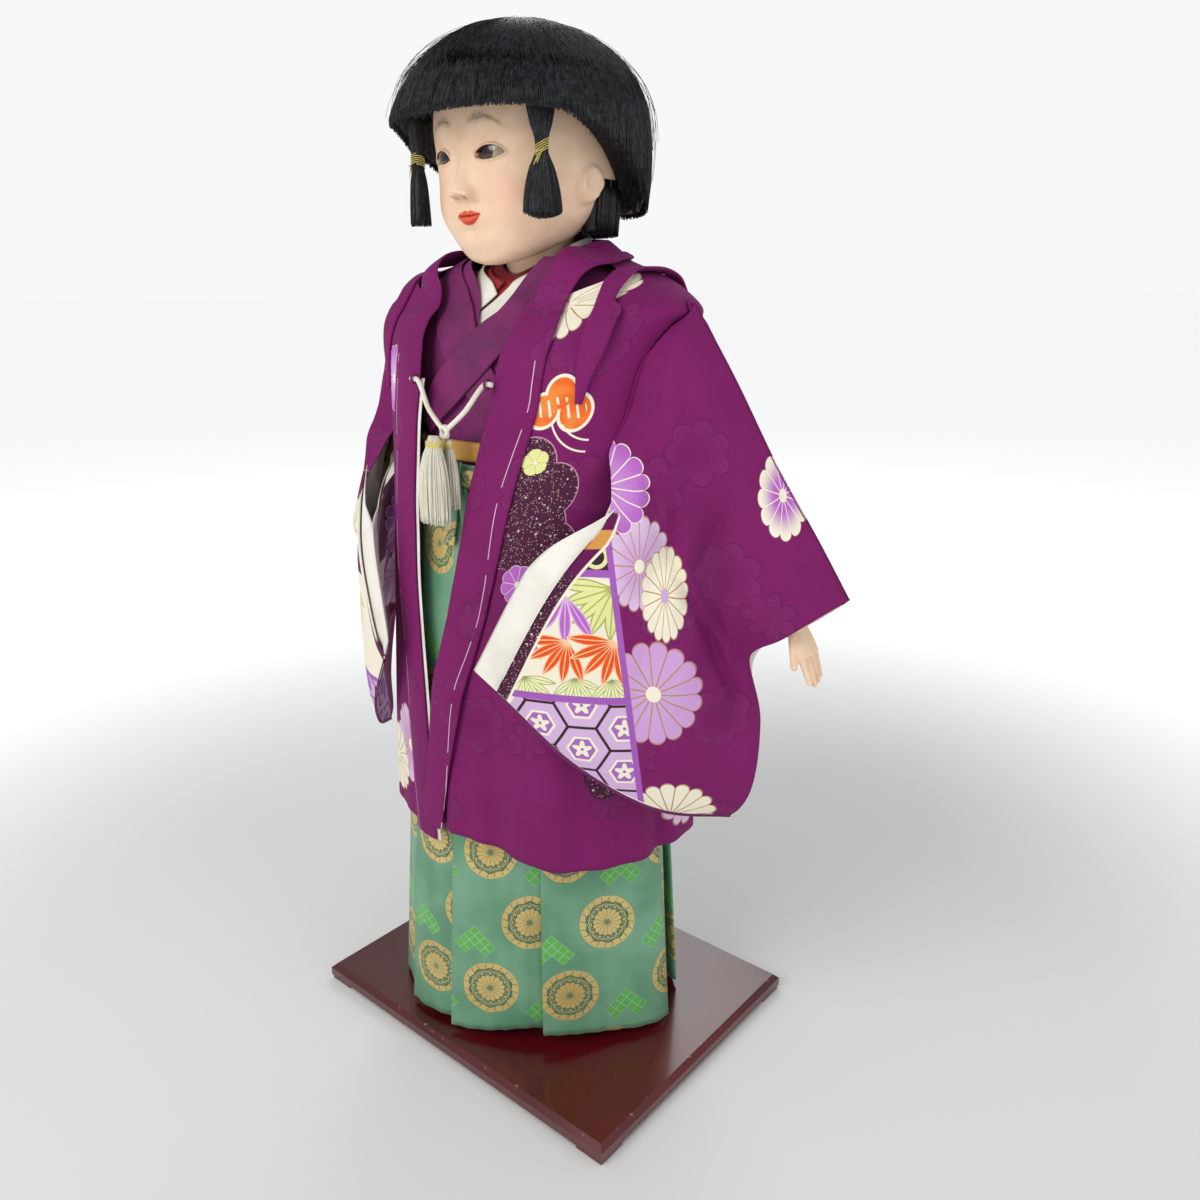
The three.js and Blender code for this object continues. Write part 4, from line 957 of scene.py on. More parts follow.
DOTTED_CLOUD = [(0.024, 0.470, 0.020), (0.046, 0.456, 0.018), (0.036, 0.430, 0.026),
                (0.010, 0.440, 0.028), (0.054, 0.418, 0.018), (0.014, 0.412, 0.022)]
PINE_CLOUD = [(0.0345, 0.5185, 0.0100), (0.0470, 0.5070, 0.0110), (0.0240, 0.5070, 0.0100)]
LEFT_PANEL_FLOWERS = [(0.028, 0.474, 0.010, 0.009, 5, (LEAF, LEAF, CREAM, GOLD)),
                      (0.016, 0.572, 0.024, 0.022, 14, CREAM_FLOWER),
                      (0.036, 0.391, 0.013, 0.014, 8, (VIOLET, VIOLET, CREAM, CREAM)),
                      (0.205, 0.215, 0.034, 0.034, 16, LILAC_FLOWER),
                      (0.250, 0.245, 0.026, 0.026, 16, CREAM_FLOWER)]
RIGHT_PANEL_FLOWERS = [(-0.024, 0.235, 0.030, 0.034, 16, LILAC_FLOWER),
                       (-0.060, 0.212, 0.028, 0.030, 16, CREAM_FLOWER),
                       (-0.030, 0.520, 0.022, 0.024, 15, VIOLET_FLOWER),
                       (-0.210, 0.240, 0.034, 0.034, 15, LILAC_FLOWER)]


def left_panel(colour, place):
    """A dotted cloud and an orange pine on the chest, then flowers round to the back."""
    x, y, _ = split(place)
    above = step(0.3995, 0.4005, y)
    pine = paint(hexa("f08a3c"), step(0.4, 0.6, noise(place, 60.0, 1.0)), hexa("ef6a22"))
    bars = below(calc("PINGPONG", x + y * 0.4, 0.0034), 0.0009) * within(y, 0.503, 0.516)
    arcs = either(*(ring(place, (0.062, height, 0), reach, 0.0012)
                    for height, reach in ((0.519, 0.030), (0.5155, 0.034))))
    flat = vector("MULTIPLY", vector("SUBTRACT", place, (0.1245, 0.262, 0.0)), (1.0, 0.6, 1.0))
    colour = layers(
        colour, (cloud_mask(place, DOTTED_CLOUD, 0.0007) * above, hexa("c79ab0")),
        (cloud_mask(place, DOTTED_CLOUD) * above, dotted(place)),
        (cloud_mask(place, PINE_CLOUD, 0.0022), CREAM), (cloud_mask(place, PINE_CLOUD), pine),
        (bars * cloud_mask(place, PINE_CLOUD, -0.003), CREAM),
        (arcs * below(y, 0.499) * below(x, 0.062), CREAM),
        (below(vector("LENGTH", flat, output=1), 0.0185), dotted(place)))
    return blooms(colour, place, LEFT_PANEL_FLOWERS)


def right_panel(colour, place):
    return blooms(colour, place, RIGHT_PANEL_FLOWERS)


def basted(colour, place):
    """The band of the haori keeps its long basting stitches of white thread."""
    x, y, _ = split(place)
    stitch = near(x, 0.0105 + calc("SINE", y * 42.0) * 0.0018, 0.00028, 0.00012)
    dash = below(calc("FRACT", (y - 0.0183) / 0.052), 0.78, 0.01)
    dash = dash * below(split(object_place(place.tree))[2], 0.55)
    return paint(colour, stitch * dash * 0.85, hexa("e8d8e4"))


ROUNDEL, LOZENGE, PERIOD = 0.0225, 0.0088, (0.09, 0.119)
LOZENGES = ((0.4475, 0.088), (0.4155, 0.150))
ROUNDELS = ((0.3705, 0.167), (0.4024, 0.1075))


def repeat(place, centre):
    """The place measured from the nearest of a lattice of centres."""
    size = (*PERIOD, 1.0)
    moved = vector("DIVIDE", vector("SUBTRACT", place, (*centre, 0.0)), size)
    part = vector("SUBTRACT", vector("FRACTION", vector("ADD", moved, (0.5, 0.5, 0.0))),
                  (0.5, 0.5, 0.0))
    return vector("MULTIPLY", part, size)


def build_roundel(place):
    """A sixteen-petalled flower inside a ring of scrolls and a ring of leaves. Gold covers
    what the thin ground lines leave."""
    p = vector("SCALE", place, 1 / ROUNDEL)
    x, y, _ = split(p)
    reach = vector("LENGTH", p, output=1)
    turn = calc("ARCTAN2", y, x) / math.tau
    heart = use(place.tree, flower_group, Place=p, Size=(0.54, 0.54, 1.0), Petals=16.0)
    eye = within(heart["Reach"], 0.15, 0.2, 0.02)
    petals = heart["Petal"] * (1.0 - heart["Line"]) * (1.0 - eye)
    coil = join(place.tree, calc("PINGPONG", turn * 12.0, 0.5), reach * 3.2)
    curl = calc("PINGPONG", distance(coil, (0.3, 1.95, 0.0)), 0.12)
    scrolls = within(reach, 0.56, 0.74, 0.01) * below(curl, 0.055, 0.015)
    blade = calc("PINGPONG", turn * 10.0 + reach * 0.5, 0.5)
    scallop = calc("PINGPONG", turn * 10.0, 0.5)
    outer = within(reach, 0.76 + scallop * 0.12, 0.985, 0.01)
    outer = outer * (1.0 - within(blade, 0.2, 0.25, 0.02))
    rim = within(reach, 0.955, 1.0, 0.008)
    return {"Gold": either(petals, scrolls, outer, rim), "Ground": below(reach, 1.0, 0.01)}


def build_lozenges(place):
    """A chevron of small lozenges, each a four-petalled flower on its corner."""
    x, y, _ = split(vector("SCALE", place, 1 / LOZENGE))
    one, two = x - y + 0.6, 0.6 - x - y
    inner = (within(one, -1.0, 3.0, 0.01) * within(two, -1.0, 1.0, 0.01),
             within(one, -1.0, 1.0, 0.01) * within(two, -1.0, 3.0, 0.01))
    a, b = (calc("ABSOLUTE", calc("FRACT", v) - 0.5) for v in (one, two))
    tile = below(either(a, b), 0.44, 0.015)
    cross = either(below(a, 0.035, 0.02), below(b, 0.035, 0.02))
    area = either(*inner)
    return {"Tile": tile * (1.0 - cross * 0.6) * area, "Edge": area * (1.0 - tile)}


roundel_group = group("gold roundel", {"Place": SPOT}, build_roundel)
lozenge_group = group("lozenge chevron", {"Place": SPOT}, build_lozenges)


def build_brocade(tree):
    """Green satin with woven gold roundels and bright green lozenges."""
    place = own_uv(tree)
    tone = use(tree, tone_group, Place=place, Size=0.06)
    threads = use(tree, weave_group, Place=place, Pitch=0.0006)["Height"]
    colour = paint(hexa("5c9270"), step(0.35, 0.65, tone["Tone"]) * 0.6, hexa("83b394"))
    for centre in LOZENGES:
        made = use(tree, lozenge_group, Place=repeat(place, centre))
        colour = layers(colour, (made["Edge"] * 0.6, hexa("a8d8b0")),
                        (made["Tile"], hexa("5fb545")))
    gold = paint(hexa("b48a3c"), tone["Tone"], hexa("f0dc94"))
    roundels = [use(tree, roundel_group, Place=repeat(place, centre)) for centre in ROUNDELS]
    for made in roundels:
        colour = layers(colour, (made["Ground"], hexa("3d7258")), (made["Gold"], gold))
    raised = either(*(made["Gold"] for made in roundels))
    return {"Base_Color": colour, "Roughness": 0.42, "Sheen_Weight": 0.25,
            "Sheen_Roughness": 0.35, "Sheen_Tint": hexa("d8ecd8"), "Metallic": raised * 0.25,
            "Normal": bump(threads * 0.3 + tone["Crinkle"] * 0.5 + raised * 0.6, 0.0004, 0.5)}


def build_lining(tree):
    """White silk inside, with the purple turned in along the sleeve's folds."""
    down = value_of(tree, "down")
    seen = either(step(0.42, 0.46, down), step(0.10, 0.12, value_of(tree, "inset")))
    return {"Base_Color": paint(DEEP, within(down, 0.05, 0.95, 0.01) * seen, hexa("efeae0")),
            "Roughness": 0.75}


sleeve_silk = {"left": crepe("left sleeve silk", left_sleeve),
               "right": crepe("right sleeve silk", right_sleeve)}
panel_silk = {"left": crepe("left panel silk", left_panel),
              "right": crepe("right panel silk", right_panel)}
band_crepe = crepe("band crepe", basted)
purple_crepe = crepe("purple crepe", lambda ground, place: ground)
lining = material("sleeve lining", build_lining)
green_brocade = material("green brocade", build_brocade)
print("patterned silks", len(sleeve_silk) + len(panel_silk))

# %% [markdown]
# ## Cords of the fastening
# A haori closes with two short braided cords. Each is tied to a thread loop on its lapel,
# and they meet in a knot over the chest. The braid is round, of eight strands that wind
# both ways, so its radius follows the higher of two crossing helices.

# %% Cords of the fastening
LOOP_Z = 523
CORD_DIAMETER = 3.6
LAPEL_X = {"left": 38, "right": -35}
LOOP_THREAD, CLEAR = 0.9, 0.3
LOOP_RADIUS = CORD_DIAMETER / 2 + LOOP_THREAD + 0.45
BAND_FACE = 2.4
KNOT = np.array([2.0, -95.0, 490.0])
KNOT_RADIUS = 5
lapel_y = min(haori(angle_at(HAORI, x, LOOP_Z), LOOP_Z)[1] for x in LAPEL_X.values())
LOOP_Y = lapel_y - BAND_FACE - LOOP_RADIUS - LOOP_THREAD - CLEAR


def braid_radius(line, radius, sides, strands=4, twist=0.62):
    """Radius along and round the line, highest where one of the two helices passes."""
    turn, wind = strands * circle(sides + 1)[None], run_along(line)[:, None] * twist * 4
    one, two = np.sin(turn + wind), np.sin(turn - wind)
    return radius * (0.9 + 0.1 * np.maximum(one, two))


def loop_ring(name, x):
    turn = circle(49)
    ring = np.stack([np.full(49, float(x)), LOOP_Y + LOOP_RADIUS * np.cos(turn),
                     LOOP_Z + LOOP_RADIUS * np.sin(turn)], -1)
    grid = swept(ring, braid_radius(ring, LOOP_THREAD, 10, 2, 0.9), 10, across=(1, 0, 0))
    closed("loop " + name, grid, "doll", purple_silk, stands_for=f"himo_loop_{name}")


cord_paths = {}
for name, x in LAPEL_X.items():
    loop_ring(name, x)
    at = np.array([x, LOOP_Y, LOOP_Z])
    outward = np.sign(x)
    halfway = mix(at, KNOT, 0.5) + (0, -1, -2)
    end = KNOT + unit(halfway - KNOT) * (KNOT_RADIUS - 1.5)
    route = smooth_line([at + (outward * 4, 0, 0), at + (-outward * 3, 0, -0.6), halfway, end])
    line = by_length(route)(np.linspace(0, 1, 150))
    cord_paths[name] = line
    closed("cord " + name, swept(line, braid_radius(line, CORD_DIAMETER / 2, 24)), "fastening",
           pale_cord, stands_for=f"himo_cord_{name}")
print("cords", [round(line_length(line), 1) for line in cord_paths.values()], "mm")

# %% [markdown]
# ## Knot and tassels
# The cords pass through each other in a small square knot: here two interlocked rounds of
# the same braid. Below it hang two tassels. A tassel is a bunch of untwisted silk, bound at
# its head, so it is made of a few hundred fine fibres over a thin core.

# %% Knot and tassels
def knot_round(tilt, swing):
    turn = circle(73)
    ring = np.stack([np.cos(turn) * 3.4, np.sin(turn) * 1.7 * np.cos(swing),
                     np.sin(turn) * 3.3], -1)
    c, s = math.cos(tilt), math.sin(tilt)
    return ring @ np.array([[c, 0, s], [0, 1, 0], [-s, 0, c]]) + KNOT


for k, (tilt, swing) in enumerate([(0.6, 0.4), (-0.7, -2.4), (1.6, 1.2)]):
    ring = knot_round(tilt, swing)
    closed(f"knot {k + 1}", swept(ring, braid_radius(ring, 1.7, 16), 16, across=(0.2, 1, 0.1)),
           "fastening", pale_cord, stands_for=None if k else "himo_knot")

TASSELS = {  # name: x, y, top, length, half-width, half-depth, lean at the head, fibres
    "front": (0, KNOT[1] - 10.2, KNOT[2] - 2, 60, 14, 7.4, 2.2, 620),
    "back": (3.5, KNOT[1] + 1.5, KNOT[2] - KNOT_RADIUS - 0.3, 48, 8.5, 4, 0, 300)}
# share of the length below the head, radius as a share of the greatest
TASSEL_ROWS = [(0, 0.3), (0.05, 0.42), (0.1, 0.4), (0.2, 0.62), (0.45, 0.9), (0.8, 0.98),
               (1, 0.9)]
rng = np.random.default_rng(31)


def tassel(name, x, y, top, length, rx, ry, lean, fibres):
    t = np.linspace(0, 1, 15)
    share = table(TASSEL_ROWS, t)[0]
    turn, deep = rng.uniform(0, 2 * np.pi, fibres), np.sqrt(rng.uniform(0.25, 1, fibres))
    drift = rng.normal(0, 0.06, (fibres, 2))
    reach = rng.uniform(0.93, 1.0, fibres)[:, None]
    wave = np.sin(t * rng.uniform(3, 7, fibres)[:, None] + rng.uniform(0, 6, fibres)[:, None])
    side = deep[:, None] * share
    out_x = np.cos(turn)[:, None] * side + drift[:, :1] * t ** 2 + 0.03 * wave * t
    out_y = np.sin(turn)[:, None] * side + drift[:, 1:] * t ** 2
    # no fibre reaches outside the bunch's own oval
    pull = np.minimum(1, 0.97 / np.maximum(np.hypot(out_x, out_y), 0.01))

    def middle(t):
        return y + lean * (1 - t) ** 3

    lines = np.stack([x + rx * out_x * pull, middle(t) + ry * out_y * pull,
                      top - length * t * reach], -1)
    tubes(f"tassel {name}", lines, 0.42, "fastening", pale_cord)
    level = np.linspace(0.02, 0.93, 30)
    core = np.stack([np.full(30, float(x)), middle(np.linspace(0, 1, 30)),
                     top - length * level], -1)
    width = table(TASSEL_ROWS, level)[0] * rx * 0.72
    closed(f"tassel core {name}", swept(core, width[:, None], 24, flat=ry / rx, across=(0, 1, 0)),
           "fastening", pale_cord)
    bind = np.linspace(0, 1, 90)
    angle = bind * 2 * np.pi * 5
    level = 0.055 + 0.06 * bind
    coil = np.stack([x + rx * 0.47 * np.cos(angle), middle(level) + ry * 0.5 * np.sin(angle),
                     top - length * level], -1)
    closed(f"tassel binding {name}", swept(coil, 0.5, 8), "fastening", gold_thread)


for name, sizes in TASSELS.items():
    tassel(name, *sizes)
for name, line in cord_paths.items():
    pieces["cord " + name]
    ([pieces["knot 1"], pieces["knot 2"], pieces["knot 3"]]
            if name == "left" else [])
print("tassel fibres", sum(sizes[-1] for sizes in TASSELS.values()))

# %% [markdown]
# ## Head
# The head is carved wood composition under many coats of shell white, polished to a soft
# gleam. Its skull is a stack of ovals. The features are added to them as smooth rises and
# hollows, each placed by its distance from the face's middle line and its height.

# %% Head
# height, half-width, front, back, centre y
SKULL = [(598, 5, 5, 5, -42), (600.5, 17, 11, 12, -39), (605, 28, 19, 20, -33),
         (613, 39, 31, 32, -24), (624, 49, 43, 45, -15), (635, 55, 51, 56, -9),
         (648, 59, 56, 66, -6), (662, 61, 58, 72, -5), (678, 62, 60, 75, -5),
         (694, 62, 60, 76, -5), (707, 60, 58, 74, -5), (718, 54, 52, 67, -5),
         (728, 43, 42, 54, -5), (735, 27, 27, 35, -5), (738, 8, 8, 10, -5)]
HEAD_SQUARE, FACE_SHIFT = 2.2, -2.5
EYE_X, EYE_WIDE, EYE_LINE = 22.5, 10.6, 664.6
MOUTH_WIDE = 11.0
# height, rise of the nose's ridge, its half-width
NOSE = [(634, 0, 7), (636.5, 0.4, 8), (639, 5.4, 7.6), (642, 10.2, 7), (645.5, 10.2, 6),
        (652, 6.2, 5), (660, 3, 5), (668, 1.2, 6), (678, 0, 8)]
# rise, distance from the middle line and its spread, height and its spread
FEATURES = [(5.0, 7.6, 2.9, 641.3, 3),  # wings of the nose
            (-0.6, 9.6, 1.2, 643, 3.2),  # groove beside them
            (2.2, 0, 12, 627, 6),  # swell of the mouth
            (-0.7, 0, 1.7, 635, 2.2),  # groove under the nose
            (-1.1, 0, 9, 619, 2.6),  # hollow under the lip
            (-0.7, MOUTH_WIDE + 1, 2, 629.6, 2),  # corners of the mouth
            (2.0, 0, 12, 611, 6),  # chin
            (3.4, 35, 15, 632, 15),  # cheeks
            (-1.8, EYE_X, 13, 669, 8),  # hollows of the eyes
            (0.9, 24, 14, 684, 6),  # ridge of the brows
            (1.9, EYE_X, 12, EYE_LINE + 1.5, 8)]  # swell of the lids
# distance from the middle line, height of the painted brow
BROW = [(8, 684.6), (14, 686.4), (21, 686.7), (28, 684.4), (35, 679.6), (38, 677)]


def skull(angle, z, grow=0.0):
    a, f, b, y = table(SKULL, z)
    return polar(plan_radius(a, f, b, angle, HEAD_SQUARE) + grow, angle, z) + np.stack(
        [np.zeros_like(y), y, np.zeros_like(y)], -1)


def lid_lines(x):
    """Upper and lower edge of the eye opening at a distance x from the middle line."""
    e = (np.abs(x) - EYE_X) / EYE_WIDE
    room = np.maximum(1 - np.abs(e) ** 2.2, 0)
    middle = EYE_LINE + 0.8 * e
    return middle + 4.9 * room ** 0.8, middle - 2.5 * room ** 0.9, np.abs(e)


def mouth_lines(x):
    """Top of the upper lip, line between the lips and foot of the lower lip."""
    u = np.clip(np.abs(x) / MOUTH_WIDE, 0, 1)
    between = 628.3 + 1.6 * u ** 2 + 0.35 * bell(x, 0, 2.2)
    top = between + (3.0 + 0.7 * bell(np.abs(x), 2.8, 2)) * (1 - u ** 2.2) - 0.5 * bell(x, 0, 1.4)
    foot = between - 5.6 * (1 - u ** 2) ** 0.75
    return top, between, foot


def mouth_relief(ax, z):
    """Two lips that round toward the line between them, which is drawn in as a crease."""
    top, between, foot = mouth_lines(ax)
    upper = (z - between) / np.maximum(top - between, 0.2)
    lower = (between - z) / np.maximum(between - foot, 0.2)
    reach = np.sqrt(np.clip(1 - (ax / MOUTH_WIDE) ** 2, 0, 1))
    crease = bell(z, between, 0.45) * (1 - ease(MOUTH_WIDE - 1.5, MOUTH_WIDE + 0.4, ax))
    rise = 1.9 * reach * np.sin(np.pi * np.clip(upper * 0.85 + 0.15, 0, 1)) * (z >= between)
    rise += 2.5 * reach * np.sin(np.pi * np.clip(lower * 0.9 + 0.1, 0, 1)) * (z < between)
    painted = (ax < MOUTH_WIDE) * (z >= foot) * (z <= top)
    return rise - 1.3 * crease, painted * reach ** 0.4, crease * reach


def eye_relief(ax, z):
    """Lids that swell round the opening, a fold above it and the socket within."""
    top, foot, e = lid_lines(ax)
    depth = np.where(e < 1, np.minimum(top - z, z - foot),
                     -np.hypot((e - 1) * EYE_WIDE, z - EYE_LINE - 0.8))
    rise = 1.5 * bell(depth, -1.0, 0.9) * (1 - ease(1.0, 1.3, e))
    rise -= 0.75 * bell(z, top + 2.1 + 0.6 * e, 0.5) * (1 - ease(0.9, 1.15, e))
    return rise - 6.5 * ease(-0.25, 0.45, depth), depth


def ear_relief(turn, z):
    """A rim round a hollow, with its lobe below."""
    across, up = (np.abs(turn) - 89) / 10, (z - 647.5) / 12
    reach = np.hypot(across, up)
    low = 1 - 0.65 * ease(0.1, 1.0, up)
    rise = low * (3.2 * (1 - ease(0.85, 1.2, reach)) + 1.4 * bell(reach, 0.84, 0.14))
    rise -= 2.6 * bell(np.hypot(across + 0.1, up - 0.15), 0, 0.45)
    return rise + bell(np.hypot(across + 0.55, up + 0.12), 0, 0.22)


def face_relief(angle, z):
    """Rise of the skin over the skull, and the masks that its paint follows."""
    turn = np.degrees(np.arctan2(np.sin(angle), np.cos(angle)))
    a, f, b, _ = table(SKULL, z)
    x = plan_radius(a, f, b, angle, HEAD_SQUARE) * np.sin(angle) - FACE_SHIFT
    ax, front = np.abs(x), 1 - ease(62, 80, np.abs(turn))
    ridge, width = table(NOSE, z)
    nostril = bell(ax, 3.3, 1.5) * bell(z, 639.3, 0.9)
    mouth, lips, crease = mouth_relief(ax, z)
    eyes, depth = eye_relief(ax, z)
    rise = ridge * bell(x, 0, width) - 1.7 * nostril + mouth + eyes
    for amount, far, wide, height, tall in FEATURES:
        rise += amount * bell(ax, far, wide) * bell(z, height, tall)
    brow = bell(z, table(BROW, ax)[0], 1.3 + 1.5 * bell(ax, 16, 8))
    # dark: the nostril hollows and the crease between the lips, painted dark as painted shade in
    # them
    masks = {"lip": lips, "dark": np.clip(crease + nostril * 0.8, 0, 1),
             "brow": brow * ease(6, 12, ax) * (1 - ease(29, 38, ax)),
             "lash": bell(depth, -0.15, 0.55) * ease(-0.5, 1, z - EYE_LINE - 0.6),
             "rim": bell(depth, 0.1, 0.8),
             "blush": bell(np.hypot((ax - 34) / 15, (z - 642) / 13), 0, 1)}
    return (rise * front + ear_relief(turn, z),
            {key: value * front for key, value in masks.items()})


# columns and rows are closer over the face than behind
turns = np.radians(np.interp(np.linspace(0, 1, 341), [0, 0.15, 0.85, 1],
                             [-180, -64, 64, 180]))
heights = np.interp(np.linspace(0, 1, 231), [0, 0.1, 0.86, 1], [598, 611, 690, 738])
turn_grid, height_grid = np.meshgrid(turns, heights)
rise, masks = face_relief(turn_grid, height_grid)
skin_points = tipped(skull(turn_grid, height_grid, rise))
masks = {key: np.pad(value, ((1, 1), (0, 0)), "edge") for key, value in masks.items()}


def build_skin(tree):
    """Shell white with a faint warm blush, painted lips, brows and lash lines."""
    place = object_place(tree)
    patch = noise(place, 90.0, 3.0)
    x, _, z = split(place)
    side = calc("ABSOLUTE", x)
    stroke = noise(join(tree, side * 200.0 + z * 60.0, z * 1500.0 - side * 420.0), 1.0, 1.0)
    lip = value_of(tree, "lip")
    colour = layers(
        hexa("eac6a6"), (step(0.3, 0.75, patch), hexa("f0d0b3")),
        (value_of(tree, "blush") * 0.38, hexa("e2a48a")),
        (value_of(tree, "rim") * 0.35, hexa("b9735c")),
        (value_of(tree, "brow") * (0.25 + step(0.38, 0.62, stroke) * 0.6), hexa("6e5a4c")),
        (step(0.25, 0.75, lip) * 0.95, hexa("dd4a22")),
        # painted shade in the nostrils and in the crease between the lips
        (value_of(tree, "dark") * 0.8, hexa("5a1c14")),
        (step(0.35, 0.9, value_of(tree, "lash")), hexa("241512")))
    return {"Base_Color": colour, "Roughness": 0.5 - step(0.3, 0.8, lip) * 0.15,
            "Subsurface_Weight": 0.12, "Subsurface_Radius": (0.004, 0.002, 0.001),
            "Normal": bump(noise(place, 700.0, 3.0), 0.0002, 0.25)}


skin = material("shell white", build_skin)
closed("head skin", skin_points, "head", skin, values=masks,
       inside=(0, -5, 660), stands_for="head")
THROAT, NECK_Y = (566.5, 627), 6
throat_z = np.linspace(*THROAT, 40)
flare = 26.4 - 2.0 * ease(566, 600, throat_z) + 1.2 * ease(606, 627, throat_z)
throat = polar(flare[:, None], circle(97)[None], throat_z[:, None]) + (0, NECK_Y, 0)
closed("neck skin", tipped(throat, [(0, NECK_Y, z) for z in THROAT]), "head", skin,
       values={key: 0.0 for key in masks})
print("head skin", skin_points.shape)

# %% [markdown]
# ## Eyes
# Each eye is a glass half-ball with its iris painted behind, set into the head before the
# white is laid on. Here it is a ball whose rings run round the line of sight, so that the
# iris and pupil are exact circles, and it sits just behind the lids.

# %% Eyes
EYE_BALL, EYE_PROUD, EYE_Z = 16.5, 0.9, EYE_LINE + 1.2
SIGHT = unit(np.array([0.0, -1.0, 0.02]))
TO_SIDE = unit(np.cross(SIGHT, (0, 0, 1)))
TO_TOP = np.cross(TO_SIDE, SIGHT)


def build_eye(tree):
    """Rings of colour by the distance from the line of sight, in millimetres."""
    off = value_of(tree, "off")
    place = object_place(tree)
    streaks = noise(place, 900.0, 4.0)
    # the whites are painted a greyed brown: painted shade that the lids cast on them
    white = paint(hexa("8d7b6c"), step(0.3, 0.7, noise(place, 120.0)), hexa("a8988a"))
    iris = layers(hexa("2a140b"),
                  (step(2.2, 5.0, off) * step(0.35, 0.7, streaks), hexa("5b3015")),
                  (step(5.2, 6.2, off), hexa("170b07")), (step(6.2, 6.6, off), white))
    colour = paint(hexa("050303"), step(2.15, 2.4, off), iris)
    return {"Base_Color": colour, "Roughness": 0.16, "Coat_Weight": 0.4, "Coat_Roughness": 0.05,
            "IOR": 1.5}


glass_eye = material("glass eye", build_eye)
for name, side in SIDES.items():
    x = FACE_SHIFT + side * (EYE_X + 0.2)
    rows = skull(np.radians(np.linspace(-50, 50, 401)), np.full(401, EYE_LINE + 1.4))
    front_y = np.interp(x, rows[:, 0], rows[:, 1])
    outward = unit(np.array([x * 0.5, front_y + 5, 0.0]))
    centre = np.array([x, front_y, EYE_Z]) - outward * (EYE_BALL - EYE_PROUD)
    polar_angle = np.concatenate([np.linspace(0, 0.6, 61), np.linspace(0.65, np.pi, 30)])
    around = circle(97)
    ball = (centre + EYE_BALL * (np.cos(polar_angle)[:, None, None] * SIGHT
            + np.sin(polar_angle)[:, None, None] * (np.cos(around)[:, None] * TO_SIDE
                                                    + np.sin(around)[:, None] * TO_TOP)))
    off = np.where(polar_angle < np.pi / 2, EYE_BALL * np.sin(polar_angle), EYE_BALL)[:, None]
    closed(f"eye {name}", ball, "head", glass_eye, values={"off": off}, inside=centre)
print("eyes at", round(x, 1), round(float(front_y), 1))

# %% [markdown]
# ## Hair
# The bob is straight silk hair, set in from the crown and cut blunt: level over the brow,
# slanting down past the ears and lower behind. Its bulk is one closed shape with fine
# grooves. Over that lie thousands of separate strands, and more fill the cut edge, so that
# the outline is as ragged as cut hair is. A few stray hairs stand off the crown.

# %% Hair
HAIR_CENTRE, CROWN = np.array([0.0, -10.0, 0.0]), 751
# height, half-width, front, back
HAIR = [(634, 80, 82, 86), (655, 85, 84, 87), (675, 87, 85, 86), (690, 86, 84, 85),
        (705, 81, 78, 83), (720, 71, 68, 78), (734, 56, 54, 66), (744, 38, 37, 48),
        (750, 16, 16, 20), (751.5, 3, 3, 3)]
# angle from the front in degrees, height of the cut edge
HAIR_EDGE = [(0, 690), (50, 690), (62, 687), (76, 678), (92, 666), (108, 652), (124, 641),
             (140, 635), (180, 634)]


def cut_edge(angle):
    turn = np.degrees(np.abs(np.arctan2(np.sin(angle), np.cos(angle))))
    return table(HAIR_EDGE, turn)[0]


def hair_point(angle, up, grow=0.0):
    """A point of the hair's outer shape: up is 0 at the cut edge and 1 at the crown."""
    edge = cut_edge(angle)
    z = edge + (CROWN - edge) * (1 - (1 - up) ** 1.7)
    a, f, b = table(HAIR, z)
    return polar(plan_radius(a, f, b, angle, 2.1) + grow, angle, z) + HAIR_CENTRE


def build_hair(tree):
    x, y, _ = split(own_uv(tree))
    streak = noise(join(tree, x * 1400.0, y * 14.0), 1.0, 3.0)
    lock = noise(join(tree, x * 160.0, y * 6.0), 1.0, 2.0)
    colour = paint(hexa("0b0b0d"), step(0.35, 0.7, streak * 0.6 + lock * 0.4), hexa("2b2c31"))
    return {"Base_Color": colour, "Roughness": 0.36 + streak * 0.25, "Specular_IOR_Level": 0.45,
            "Normal": bump(streak, 0.0005, 0.9)}


def build_strand(tree):
    tint = noise(object_place(tree), 260.0, 2.0)
    return {"Base_Color": paint(hexa("08080a"), step(0.35, 0.75, tint), hexa("2e2f35")),
            "Roughness": 0.38, "Specular_IOR_Level": 0.45}


hair_bulk = material("hair bulk", build_hair, "hair")
hair_strand = material("hair strands", build_strand, "hair")
rng = np.random.default_rng(8)
turn = circle(401)


def round_head(count):
    """Random values round the head, of which the last joins the first."""
    values = rng.normal(0, 1, count)
    return np.interp(turn, circle(count + 1), np.r_[values, values[:1]])


groove, locks = round_head(240), round_head(40)
up = np.linspace(0, 1, 56)[:, None]
outside = hair_point(turn[None], up, (0.35 * groove + 0.9 * locks) * (1 - up ** 2) - 1.4)
edge = cut_edge(turn)
under_share = np.linspace(0.12, 1, 8)[:, None]
under = mix(outside[0][None], skull(turn, edge + 4, 1.2)[None], under_share[..., None])
under[..., 2] += 5 * np.sin(np.pi * under_share) + 3 * under_share
inner_up = np.linspace(0.1, 1, 10)[:, None]
inner_z = np.minimum(mix(edge + 4, 742, inner_up), 737)
bulk = tipped(np.concatenate([outside[::-1], under,
                              skull(turn[None], inner_z, 1.2 + 5 * inner_up)]))
closed("hair bulk", bulk, "head", hair_bulk, uv=laid(turn[None] * 0.08, bulk[..., 2] * MM),
       inside=(0, -10, 700), stands_for="hair_cap")


